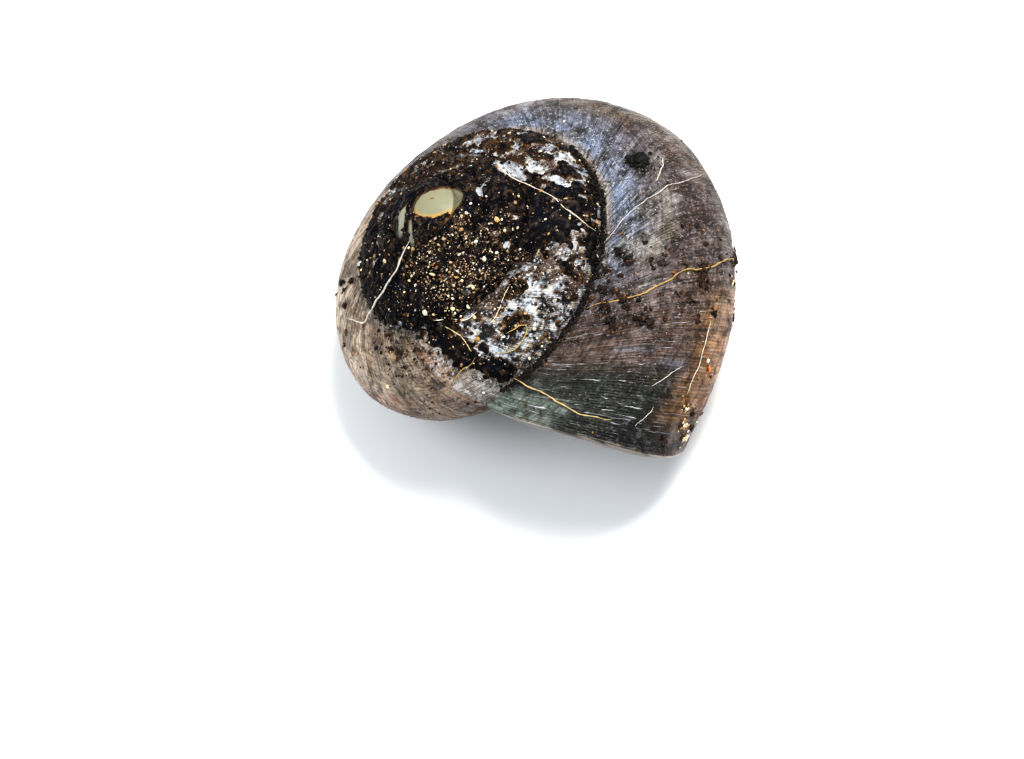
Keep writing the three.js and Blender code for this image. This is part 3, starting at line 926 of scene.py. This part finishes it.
def scatter(name, at, out, sizes, colours, material, seed, lift=0.0, flat=0.75):
    """Angular grains joined in one mesh: a round solid each, stretched along random axes, with its
    corners pushed in and out. sizes are radii, lift is in parts of them, and flat says how far the
    grains are flattened onto the shell."""
    rng = np.random.default_rng(seed)
    corners, faces = icosahedron()
    count = len(at)
    turn = np.linalg.qr(rng.normal(size=(count, 3, 3)))[0]
    turn = turn * np.sign(np.linalg.det(turn))[:, None, None]
    stretch = rng.uniform(0.32, 1.25, (count, 1, 3))
    rough = rng.uniform(0.78, 1.12, (count, len(corners), 1))
    shape = (corners[None] * stretch * rough) @ turn
    normals = out[:, None, :]
    shape = shape - (shape * normals).sum(-1, keepdims=True) * (1 - flat) * normals
    points = (at + out * (lift * sizes)[:, None])[:, None, :] + shape * sizes[:, None, None]
    ids = faces[None] + np.arange(count)[:, None, None] * len(corners)
    tint = np.repeat(np.asarray(colours), len(corners), 0)
    new_mesh(
        name, worn(points.reshape(-1, 3)), [ids.reshape(-1, 3)], [material], smooth=False,
        vectors={"tint": tint},
    )


def kept(rng, wish, count, *arrays):
    """The first so many rows of each array that pass a draw against their wish."""
    keep = rng.uniform(0, 1, len(wish)) < wish
    return [values[keep][:count] for values in arrays]


def graded(rng, count, largest, smallest, power):
    """Sizes from smallest, in parts of the largest: the higher the power, the more small ones."""
    return largest * (smallest + (1 - smallest) * rng.uniform(0, 1, count) ** power)


def sown(rng, count, first_degrees, last_degrees):
    """Random places on the roofs between two stages, as dense per area everywhere."""
    low, high = (math.exp(2 * GROWTH * math.radians(d)) for d in (first_degrees, last_degrees))
    stage = np.log(rng.uniform(low, high, count)) / (2 * GROWTH)
    return stage, rng.uniform(0.0, 1.0, count)


def picked(rng, count, names):
    """One of the named colours for each grain, a little lighter or darker."""
    colours = np.array([linear(name) for name in names])[rng.integers(0, len(names), count)]
    return np.clip(colours * rng.uniform(0.7, 1.25, (count, 1)), 0, 1)


def on_soil(stage, u):
    """The top of the soil at each place, with the outward direction and how bare it is there."""
    at = outside(stage, u)
    out = outward(stage, u)
    clear = bare(at, stage, u)
    return at + out * np.maximum(soil_height(at, clear), 0)[:, None], out, clear


# Sand, from quartz to iron-stained feldspar.
PALE = (
    "#ddd0b4", "#cbb790", "#ece3cf", "#b3966c", "#8f6e47", "#cdb998", "#77552f", "#e2d8c6", "#634527",
    "#a1825a",
)


def sand_on_spire(count, largest, material):
    """Pale sand in the soil of the spire, thickest in the middle of the side that faces front."""
    rng = np.random.default_rng(3)
    stage, u = sown(rng, count * 5, -1290, -332)
    at, out, clear = on_soil(stage, u)
    wish = np.where(clear < 0.02, 0.17 + 0.5 * np.clip(sandy(at), 0, 1), 0.12)
    wish = wish * np.where(at[:, 0] < -0.2, 0.55, 1.0) * (0.6 + 0.5 * noise(at, 0.5, 81, 2))
    at, out = kept(rng, wish * 1.25, count, at, out)
    sizes = graded(rng, len(at), largest, 0.22, 5)
    colours = picked(rng, len(at), PALE)
    scatter("sand_grains_on_spire", at, out, sizes, colours, material, 4, lift=0.3)


RING_CRUMBS = 520


def crumbs_on_spire(count, largest, material):
    """Dark crumbs: dense in the soil, and scattered over the worn parts."""
    rng = np.random.default_rng(5)
    stage, u = sown(rng, count * 4, -1300, -300)
    at, out, clear = on_soil(stage, u)
    degrees = np.degrees(stage)
    edge = np.exp(-((clear / 0.22) ** 2))
    wish = np.where(clear < 0, 0.30, 0.22) + 0.35 * edge
    wish = wish * np.where(patch(at[:, :2], BARE_CAP) > -0.1, 0.0, 1.0)
    wish = wish * np.where((degrees > -345) & (u > 0.5), 0.3, 1.0)
    at, out = kept(rng, wish, count, at, out)
    # a ring of them closes the soil round the bare first whorl
    turn, radius = rng.uniform(0, TURN, RING_CRUMBS), rng.uniform(0.5, 1.1, RING_CRUMBS)
    plan = np.column_stack([radius * np.cos(turn), radius * np.sin(turn)])
    free = np.max([patch(plan, spot) for spot in (BARE_CAP, *BARE_STRIPS[:2])], axis=0) < -0.12
    ring = np.array([place_at(x, y) for x, y in plan[free]])
    at = np.concatenate([at, outside(*ring.T)])
    out = np.concatenate([out, outward(*ring.T)])
    sizes = graded(rng, len(at), largest, 0.3, 4)
    sizes[-len(ring) :] = largest * rng.uniform(0.5, 1.0, len(ring))
    names = ("#0d0c12", "#14110f", "#22160f", "#08080c", "#2c1d13", "#4a3019", "#17151c")
    colours = picked(rng, len(at), names)
    scatter("dark_crumbs_on_spire", at, out, sizes, colours, material, 6, lift=0.2)


# Clumps of soil, most of them on the last whorl: stage in degrees, u, spread in mm and number of
# crumbs.
CLUMPS = (
    (-60, 0.22, 0.13, 44), (-57, 0.36, 0.09, 20), (-54, 0.46, 0.10, 27), (-47, 0.25, 0.12, 34),
    (-50, 0.78, 0.12, 51), (-46, 0.79, 0.12, 44), (-40, 0.23, 0.10, 24), (-37, 0.28, 0.08, 20),
    (-38, 0.43, 0.12, 27), (-53, 1.14, 0.12, 51), (-55, 1.24, 0.10, 24),
    (-36, 0.50, 0.12, 14), (-46, 0.16, 0.14, 24), (-62, 0.08, 0.10, 20),
    (-54, 0.10, 0.14, 24), (-66, 0.14, 0.14, 14), (-8, 1.20, 0.12, 17), (-12, 1.12, 0.10, 14),
    (-5, 1.02, 0.12, 14), (-264, 0.30, 0.08, 14), (-272, 0.40, 0.06, 10), (-318, 0.22, 0.08, 15),
)
BROWNS = ("#24130a", "#3b200f", "#4f2e17", "#110a06", "#2e190c", "#6e4c2b")
# Dark clods, the same way.
CLODS = (
    (-401, 0.91, 0.17, 70), (-404, 0.84, 0.12, 40), (-398, 0.98, 0.13, 40), (-408, 0.97, 0.10, 26),
    (-92, 0.36, 0.20, 130), (-96, 0.30, 0.12, 50), (-38, 0.96, 0.07, 24), (-37, 1.27, 0.09, 22),
    (-249, 0.36, 0.10, 24), (-260, 0.17, 0.10, 24), (-256, 0.30, 0.07, 12), (-245, 0.55, 0.06, 9),
    (-238, 0.75, 0.05, 6), (-22, 1.13, 0.05, 6), (-313, 0.20, 0.06, 10), (-270, 0.55, 0.05, 5),
    (-10, 1.33, 0.06, 8), (-58, 0.93, 0.04, 5),
)
# Pale sand at the lip, the same way.
LIP_GRAINS = ((-9, 1.10, 0.14, 40), (-5, 1.18, 0.12, 24), (-14, 1.04, 0.12, 22), (-47, 1.10, 0.10, 10))
BLACKS = ("#0b0a09", "#060606", "#1d180d", "#12100c")


def clumps(name, spots, names, largest, seed, material, strays=0, core=0.35):
    """Crumbs heaped round each spot, higher towards its middle, with strays about it. Further small
    heaps, as many as strays, lie anywhere in the band where most of the clumps are. The colour of
    the largest lumps is multiplied by core."""
    rng = np.random.default_rng(seed)
    at, out, sizes = [], [], []
    strewn = [
        (rng.normal(-50, 8), rng.uniform(0.04, 1.3), rng.uniform(0.03, 0.08), 9) for _ in range(strays)
    ]
    for degrees, place, spread, number in (*spots, *strewn):
        stage = math.radians(degrees)
        middle, normal = outside(stage, place), outward(stage, place)
        along = onward(stage, place)
        side = np.cross(normal, along)
        offsets = rng.normal(0, 0.5, (number, 2)) * spread
        offsets[::7] *= 2.4  # the strays
        size = largest * rng.uniform(0.35, 1.0, number) ** 1.5
        offsets[:4] *= 0.7
        size[:4] = spread * rng.uniform(0.45, 0.8, 4)
        heap = 0.35 * spread * np.exp(-(offsets**2).sum(1) / spread**2 * 3)
        spot = middle + offsets[:, :1] * along + offsets[:, 1:] * side
        at.append(spot + normal * (heap + 0.2 * size)[:, None])
        out.append(np.broadcast_to(normal, (number, 3)))
        sizes.append(size)
    at, out, sizes = np.concatenate(at), np.concatenate(out), np.concatenate(sizes)
    colours = picked(rng, len(at), names)
    colours[sizes > 0.75 * largest] *= core
    scatter(name, at, out, sizes, colours, material, seed + 1, flat=0.5)


def soil_in_suture(count, largest, material):
    """Dark crumbs packed into the groove between the spire and the last whorl."""
    rng = np.random.default_rng(15)
    stage = np.radians(rng.uniform(-128, -9, count))
    u = np.abs(rng.normal(0.0, 0.015, count))
    at, out = outside(stage, u), outward(stage, u)
    sizes = largest * rng.uniform(0.35, 1.0, count) ** 1.5
    names = ("#0b0807", "#060505", "#180f09", "#100b08", "#2a190d")
    scatter("soil_in_suture", at, out, sizes, picked(rng, count, names), material, 16)


def specks_on_whorl(count, largest, material):
    """Single crumbs and grains strewn over the last whorl, thickest on the side that faces right."""
    rng = np.random.default_rng(9)
    stage = np.radians(rng.uniform(-325, -2, count * 3))
    u = rng.uniform(0.03, 1.45, count * 3)
    at, out = outside(stage, u), outward(stage, u)
    degrees = np.degrees(stage)
    band = np.exp(-(((degrees + 52) / 16) ** 2)) + 0.5 * np.exp(-(((u - 1.12) / 0.13) ** 2))
    wish = (0.10 + 0.75 * band) * (0.5 + 0.9 * np.clip(noise(at, 0.7, 91, 2) + 0.2, 0, 1))
    at, out = kept(rng, wish, count, at, out)
    sizes = graded(rng, len(at), largest, 0.25, 4)
    names = ("#3a2417", "#5a3a1f", "#1c1512", "#7a532c", "#2a1f1c", "#8f6b3c", "#d8cdb6", "#44321c")
    colours = picked(rng, len(at), names)
    scatter("specks_on_last_whorl", at, out, sizes, colours, material, 10, lift=0.15)


# Larger grains picked out one by one: x, y, half length in mm and colour.
LARGE_GRAINS = (
    (0.62, 1.72, 0.085, "#e2b675"), (1.62, -0.02, 0.085, "#e8dcb4"), (1.86, 0.62, 0.065, "#dbb06e"),
    (1.30, 0.85, 0.045, "#e6ddcf"), (2.05, 0.90, 0.055, "#efd9a8"), (2.30, -0.45, 0.075, "#f0e6cf"),
    (1.10, 1.20, 0.050, "#f5efe2"), (0.45, 1.10, 0.050, "#efe4cd"), (3.12, 0.68, 0.060, "#d9a24a"),
    (1.75, 1.55, 0.045, "#b98f5c"), (2.55, 1.25, 0.050, "#f3e9d8"), (2.95, 2.05, 0.050, "#dfe6ee"),
    (2.60, -1.90, 0.040, "#cf8e3e"), (0.95, 0.30, 0.045, "#efe6d8"), (1.45, 1.95, 0.045, "#d3b483"),
)


# The same on the last whorl: stage in degrees, u, half length in mm and colour.
WHORL_GRAINS = (
    (-24, 1.07, 0.11, "#c9781f"), (-26, 1.03, 0.08, "#e2dccb"), (-9, 1.24, 0.05, "#efe2c4"),
    (-14, 1.10, 0.045, "#d7c39a"), (-300, 0.62, 0.05, "#e8d3a6"), (-283, 0.45, 0.04, "#c98a45"),
)


def large_grains(material):
    """The few sand grains big enough to tell apart, with the orange one at the lip."""
    places = seen_from_above(*[(x, y) for x, y, _, _ in LARGE_GRAINS])
    at, out, _ = on_soil(*np.array([(math.radians(s), u) for s, u in places]).T)
    more, upward = on_skin([(s, u) for s, u, _, _ in WHORL_GRAINS])
    sizes = np.array([size for _, _, size, _ in (*LARGE_GRAINS, *WHORL_GRAINS)])
    colours = [0.7 * linear(name) for *_, name in LARGE_GRAINS]
    colours += [linear(name) for *_, name in WHORL_GRAINS]
    at, out = np.concatenate([at, more]), np.concatenate([out, upward])
    scatter("large_sand_grains", at, out, sizes, colours, material, 12, lift=0.35)


def sand_material():
    """Quartz and feldspar sand: each grain its own colour, clear at its edges and fairly glossy."""
    return painted("quartz_sand", {
        "Roughness": 0.35, "IOR": 1.54, "Subsurface Weight": 0.15, "Subsurface Scale": 0.00005,
    })


def crumb_material():
    """Soil crumbs: each its own dark colour, dull with damp glints."""
    return painted("soil_crumbs", {"Roughness": 0.6, "Specular IOR Level": 0.3})


def root_material():
    """Root hair and straw: bleached cellulose, satin and a little see-through."""
    return painted("root_hair", {"Roughness": 0.5, "Subsurface Weight": 0.3, "Subsurface Scale": 0.00005})


# ==== Fibres ====
STRAND_SIDES, STRAND_STEP, STRAND_SWAY = 7, 0.035, 0.030  # step and sway in mm


def strand(points, normals, radius, seed):
    """A thin tube through points on the surface: a smooth curve that wavers a little, thick in the
    middle and tapered at both ends, closed by its end points."""
    rng = np.random.default_rng(seed)
    knots = np.concatenate([points[:1], points, points[-1:]])
    turned = np.concatenate([normals[:1], normals, normals[-1:]])
    line, out = [], []
    for k in range(1, len(knots) - 2):
        p0, p1, p2, p3 = knots[k - 1 : k + 3]
        count = max(2, int(np.linalg.norm(p2 - p1) / STRAND_STEP))
        for t in np.arange(count) / count:
            line.append(
                0.5 * (2 * p1 + (p2 - p0) * t + (2 * p0 - 5 * p1 + 4 * p2 - p3) * t**2
                       + (3 * p1 - p0 - 3 * p2 + p3) * t**3)
            )
            out.append(mix(turned[k], turned[k + 1], t))
    line.append(knots[-1])
    out.append(turned[-1])
    line, out = np.array(line), unit(np.array(out))
    count = len(line)
    ahead = unit(np.gradient(line, axis=0))
    side = unit(np.cross(ahead, out))
    up = np.cross(side, ahead)
    run = np.linspace(0, 1, count)
    slow, quick = rng.uniform(0, TURN, 2)
    sway = 0.6 * np.sin(run * count * 0.13 + slow) + 0.4 * np.sin(run * count * 0.31 + quick)
    sway = sway + 0.8 * noise(line, 0.16, seed, 2)
    lift = 0.25 + 0.9 * noise(line, 0.5, seed + 1, 2)
    line = line + side * (sway * STRAND_SWAY)[:, None] + up * (lift * radius * 1.2)[:, None]
    taper = np.minimum(1, 0.25 + 5 * np.minimum(run, 1 - run))
    thick = radius * taper * (0.85 + 0.6 * noise(line, 0.11, seed + 2, 2))
    sides = STRAND_SIDES
    angle = np.arange(sides) / sides * TURN
    ring = side[:, None] * np.cos(angle)[None, :, None] + up[:, None] * np.sin(angle)[None, :, None]
    tube = line[:, None] + ring * thick[:, None, None]
    ids = np.arange(count * sides).reshape(count, sides)
    closed = np.concatenate([ids, ids[:, :1]], 1)
    faces = [cells(closed), fan(ids[0], count * sides)[:, ::-1], fan(ids[-1], count * sides + 1)]
    points = np.concatenate([tube.reshape(-1, 3), line[:1], line[-1:]])
    return points, faces


# Radius in mm, colour, and the route: points seen along the axis, then places in degrees and u.
ROOTS = (
    (
        0.020, "#cbc6ba", ((0.79, -0.42), (1.20, -0.87), (1.36, -1.40), (1.49, -2.01)),
        ((-291, 0.13), (-272, 0.29)),
    ),
    (
        0.014, "#c9c0ae",
        ((-1.09, 1.54), (-0.63, 2.00), (-0.30, 2.53), (-0.04, 2.90), (0.36, 3.22), (0.65, 3.49)), (),
    ),
    (0.016, "#b59f70", (), ((-346, 0.95), (-14, 0.10), (-11, 0.24), (-8, 0.40), (-7, 0.53), (-7, 0.66))),
    (0.019, "#9d8452", (), (
        (-49, 0.05), (-46, 0.31), (-47, 0.42), (-48, 0.52), (-50, 0.65), (-50, 0.78), (-52, 1.00),
        (-54, 1.20),
    )),
    (0.012, "#b3aca6", (), (
        (-75, 0.03), (-79, 0.14), (-79, 0.23), (-78, 0.31), (-78, 0.43), (-78, 0.54), (-77, 0.72),
        (-78, 0.89),
    )),
    (0.013, "#b8a67c", (), ((-354, 0.05), (-354, 0.21), (-350, 0.40))),
    (0.013, "#ae9662", (), (
        (-364, 0.47), (-369, 0.52), (-369, 0.60), (-364, 0.67), (-358, 0.67), (-354, 0.60), (-354, 0.56),
    )),
    (0.013, "#a58c56", (), ((-348, 0.48), (-343, 0.52), (-338, 0.55), (-330, 0.66))),
    (0.007, "#c9c3b6", (), ((-13, 0.83), (-10, 0.83), (-6, 0.81))),
    (0.007, "#c6c0b4", (), ((-18, 0.74), (-21, 0.80), (-24, 0.86))),
    (0.010, "#cfc6b2", (), ((-88, 0.55), (-84, 0.50), (-82, 0.42))),
    (0.012, "#e6dfcf", ((2.42, -0.35), (2.50, 0.10), (2.62, 0.45), (2.55, 0.80)), ()),
    (0.011, "#dfd0ac", ((2.10, 1.70), (2.45, 1.45), (2.85, 1.10)), ()),
    (0.008, "#d3cdc0", (), ((-36, 0.95), (-31, 0.96), (-26, 0.972), (-21, 0.985), (-17, 1.0))),
    (0.009, "#9a9690", (), ((-30, 1.30), (-29, 1.42), (-29, 1.50))),
)


def fibres(scale):
    """Root hairs, straw and threads that lie on the shell, as one piece."""
    parts, tints = [], []
    for seed, (radius, name, seen, places) in enumerate(ROOTS):
        radius = radius * scale
        route = np.array([*seen_from_above(*seen), *places], float)
        at, out = on_skin(route)
        soil = soil_height(at, bare(at, np.radians(route[:, 0]), route[:, 1]))
        soil = np.where(route[:, 0] < -335, np.maximum(soil, 0), 0)
        lying = at + out * (soil + radius * 0.9)[:, None]
        parts.append(strand(lying, out, radius, 100 + seed))
        tints.append(np.broadcast_to(linear(name), parts[-1][0].shape))
    vectors = {"tint": np.concatenate(tints)}
    new_mesh("roots_and_straw", *joined(parts), [root_material()], vectors=vectors)


# ==== The stage: floor, light and camera ====
VIEW_RIGHT = np.cross(VIEW_UP, VIEW_BACK)
AIM = (2.3, -4.3, -2.0)  # in view, like the places of the lights


def in_view(right, up, back):
    """A point in metres, from the top of the axis: mm to the right, up and towards the camera."""
    return laid(right * VIEW_RIGHT + up * VIEW_UP + back * VIEW_BACK)


def soft_light(name, place, size, watts, colour):
    """A square area light at a place in view, turned to the middle of the shell."""
    light = bpy.data.lights.new(name, "AREA")
    light.shape = "SQUARE"
    light.size, light.energy, light.color = size, watts, colour
    obj = bpy.data.objects.new(name, light)
    obj.location = in_view(*place)
    direction = Vector(in_view(*AIM)) - Vector(in_view(*place))
    obj.rotation_euler = direction.to_track_quat("-Z", "Y").to_euler()
    bpy.context.scene.collection.objects.link(obj)


def stage_set(lens_mm, distance_mm, light_watts, floor_colour):
    """A pale studio: a large floor, a soft key light from above, a weaker fill from the left and a
    pale world. The camera looks down on the spire as the photo does."""
    scene = bpy.context.scene
    corners = np.array([[-1, -1], [1, -1], [1, 1], [-1, 1]]) * 0.5
    mesh = bpy.data.meshes.new("floor")
    mesh.from_pydata([(x, y, 0.0) for x, y in corners], [], [(0, 1, 2, 3)])
    floor = bpy.data.objects.new("floor", mesh)
    scene.collection.objects.link(floor)
    _, finish = new_material("studio_paper")
    mesh.materials.append(finish({"Base Color": (*floor_colour, 1.0), "Roughness": 0.9}))

    world = bpy.data.worlds.new("pale_studio")
    world.use_nodes = True
    background = world.node_tree.nodes["Background"].inputs
    background["Color"].default_value = (0.93, 0.97, 1.0, 1.0)
    background["Strength"].default_value = 0.45
    scene.world = world
    soft_light("key", (22, 66, 72), 0.045, light_watts, (1.0, 0.98, 0.95))
    soft_light("fill", (-70, 10, 60), 0.06, light_watts * 0.3, (0.92, 0.96, 1.0))

    camera = bpy.data.cameras.new("camera")
    camera.lens, camera.sensor_width = lens_mm, 36.0
    camera.clip_start, camera.clip_end = 0.001, 10.0
    seen = bpy.data.objects.new("camera", camera)
    axes = np.stack([LIE @ VIEW_RIGHT, LIE @ VIEW_UP, LIE @ VIEW_BACK], -1)
    place = Matrix.Translation(Vector(in_view(AIM_RIGHT, AIM_UP, distance_mm)))
    seen.matrix_world = place @ Matrix(axes).to_4x4()
    scene.collection.objects.link(seen)
    scene.camera = seen
    scene.view_settings.view_transform = "Standard"
    scene.view_settings.look = "High Contrast"


# ==== The add-on: settings, one operator for each piece or group, and a panel ====
def millimetres(name, description, default, low, high):
    """A length setting, kept in metres."""
    return bpy.props.FloatProperty(
        name=name, description=description, default=default * MM, min=low * MM, max=high * MM,
        unit="LENGTH", subtype="DISTANCE", precision=6,
    )


def colour_setting(name, description, hex_colour):
    """A colour setting, given as its sRGB hex value."""
    return bpy.props.FloatVectorProperty(
        name=name, description=description, default=tuple(float(c) for c in linear(hex_colour)),
        min=0.0, max=1.0, size=3, subtype="COLOR",
    )


def number(name, description, default, low, high):
    """A whole number."""
    return bpy.props.IntProperty(name=name, description=description, default=default, min=low, max=high)


class ShellSettings(bpy.types.PropertyGroup):
    """Sizes of the shell itself."""

    wall: millimetres("Wall", "Thickness of the shell at the lip", 0.27, 0.1, 0.5)
    callus: millimetres("Callus", "Glaze inside the mouth over the whorl before", 0.07, 0.02, 0.15)


class SoilSettings(bpy.types.PropertyGroup):
    """Sizes and amounts of what sticks to the shell."""

    spacing: millimetres("Grid of the soil", "Distance between the vertices of the soil", 0.030, 0.02, 0.1)
    sand_radius: millimetres("Sand", "Radius of the largest common sand grain", 0.060, 0.02, 0.15)
    sand_count: number("Sand grains", "Pale grains in the soil of the spire", 2300, 0, 4000)
    crumb_radius: millimetres("Crumbs", "Radius of the largest soil crumb", 0.070, 0.02, 0.15)
    crumb_count: number("Dark crumbs", "Crumbs on the spire", 3200, 0, 6000)
    speck_count: number("Specks", "Crumbs and grains on the last whorl", 1100, 0, 3000)
    strand_scale: bpy.props.FloatProperty(
        name="Fibres", description="Thickness of roots and straw against their own", default=1.3,
        min=0.3, max=2.0,
    )


class StudioSettings(bpy.types.PropertyGroup):
    """Floor, light and camera."""

    lens: bpy.props.FloatProperty(
        name="Lens", description="Focal length in mm, on a 36 mm sensor", default=300.0, min=50.0, max=600.0
    )
    distance: millimetres("Distance", "From the camera to the top of the axis", 205.0, 50.0, 800.0)
    key: bpy.props.FloatProperty(
        name="Key light", description="Power in watts", default=0.13, min=0.0, max=2.0
    )
    paper: colour_setting("Floor", "Colour of the studio paper", "#f3f3f3")


class Built(bpy.types.Operator):
    """What the operators share: each builds its pieces once."""

    bl_options = {"REGISTER", "UNDO"}

    def execute(self, context):
        self.build(context.scene)
        return {"FINISHED"}


class SNAILSHELL_OT_wall(Built):
    """Build the shell: outer skin, lip, hollow whorl and pillar"""

    bl_idname = "snailshell.wall"
    bl_label = "Shell wall"

    def build(self, scene):
        settings = scene.snail_shell
        shell_wall(settings.wall / MM, settings.callus / MM)


class SNAILSHELL_OT_soil(Built):
    """Build the soil caked on the spire"""

    bl_idname = "snailshell.soil"
    bl_label = "Soil on the spire"

    def build(self, scene):
        spacing, material = scene.snail_soil.spacing / MM, soil_material()
        spire_soil("soil_on_first_whorls", [roof_grid(-1332, -700, spacing), dome_grid()], material)
        spire_soil("soil_on_last_whorl_but_one", [roof_grid(-716, -329, 1.12 * spacing)], material)


class SNAILSHELL_OT_grains(Built):
    """Scatter sand and crumbs over the spire, in the suture and on the last whorl"""

    bl_idname = "snailshell.grains"
    bl_label = "Sand and crumbs"

    def build(self, scene):
        settings = scene.snail_soil
        sand, crumb = sand_material(), crumb_material()
        sand_on_spire(settings.sand_count, settings.sand_radius / MM, sand)
        large_grains(sand)
        crumbs_on_spire(settings.crumb_count, settings.crumb_radius / MM, crumb)
        soil_in_suture(1100, 1.1 * settings.crumb_radius / MM, crumb)
        specks_on_whorl(settings.speck_count, 0.65 * settings.crumb_radius / MM, crumb)


class SNAILSHELL_OT_clumps(Built):
    """Heap brown clumps and dark clods on the last whorl"""

    bl_idname = "snailshell.clumps"
    bl_label = "Clumps"

    def build(self, scene):
        size, crumb = scene.snail_soil.crumb_radius / MM, crumb_material()
        clumps("brown_clumps", CLUMPS, BROWNS, size, 21, crumb, strays=44)
        clumps("dark_clods", CLODS, BLACKS, size, 23, crumb)
        clumps("pale_grains_at_lip", LIP_GRAINS, PALE, 0.8 * size, 25, crumb, core=1.0)


class SNAILSHELL_OT_fibres(Built):
    """Lay root hairs and straw on the shell"""

    bl_idname = "snailshell.fibres"
    bl_label = "Roots and straw"

    def build(self, scene):
        fibres(scene.snail_soil.strand_scale)


class SNAILSHELL_OT_studio(Built):
    """Set up floor, lights and camera"""

    bl_idname = "snailshell.studio"
    bl_label = "Studio"

    def build(self, scene):
        settings = scene.snail_studio
        stage_set(settings.lens, settings.distance / MM, settings.key, tuple(settings.paper))


STEPS = (
    SNAILSHELL_OT_wall, SNAILSHELL_OT_soil, SNAILSHELL_OT_grains, SNAILSHELL_OT_clumps,
    SNAILSHELL_OT_fibres, SNAILSHELL_OT_studio,
)


class SNAILSHELL_PT_panel(bpy.types.Panel):
    """The settings and the steps, in the order they are run."""

    bl_label = "Land snail shell"
    bl_idname = "SNAILSHELL_PT_panel"
    bl_space_type = "VIEW_3D"
    bl_region_type = "UI"
    bl_category = "Shell"

    def draw(self, context):
        scene = context.scene
        for settings in (scene.snail_shell, scene.snail_soil, scene.snail_studio):
            box = self.layout.box()
            for key in settings.__annotations__:
                box.prop(settings, key)
        column = self.layout.column(align=True)
        for operator in STEPS:
            column.operator(operator.bl_idname)


CLASSES = (ShellSettings, SoilSettings, StudioSettings, *STEPS, SNAILSHELL_PT_panel)
GROUPS = {"snail_shell": ShellSettings, "snail_soil": SoilSettings, "snail_studio": StudioSettings}


def register():
    """Registers the classes and hangs the settings on the scene."""
    for item in CLASSES:
        bpy.utils.register_class(item)
    for key, group in GROUPS.items():
        setattr(bpy.types.Scene, key, bpy.props.PointerProperty(type=group))


def unregister():
    """Undoes register()."""
    for key in GROUPS:
        delattr(bpy.types.Scene, key)
    for item in reversed(CLASSES):
        bpy.utils.unregister_class(item)


def main():
    """Builds everything."""
    register()
    for operator in STEPS:
        group, name = operator.bl_idname.split(".")
        getattr(getattr(bpy.ops, group), name)()


if __name__ == "__main__":
    main()
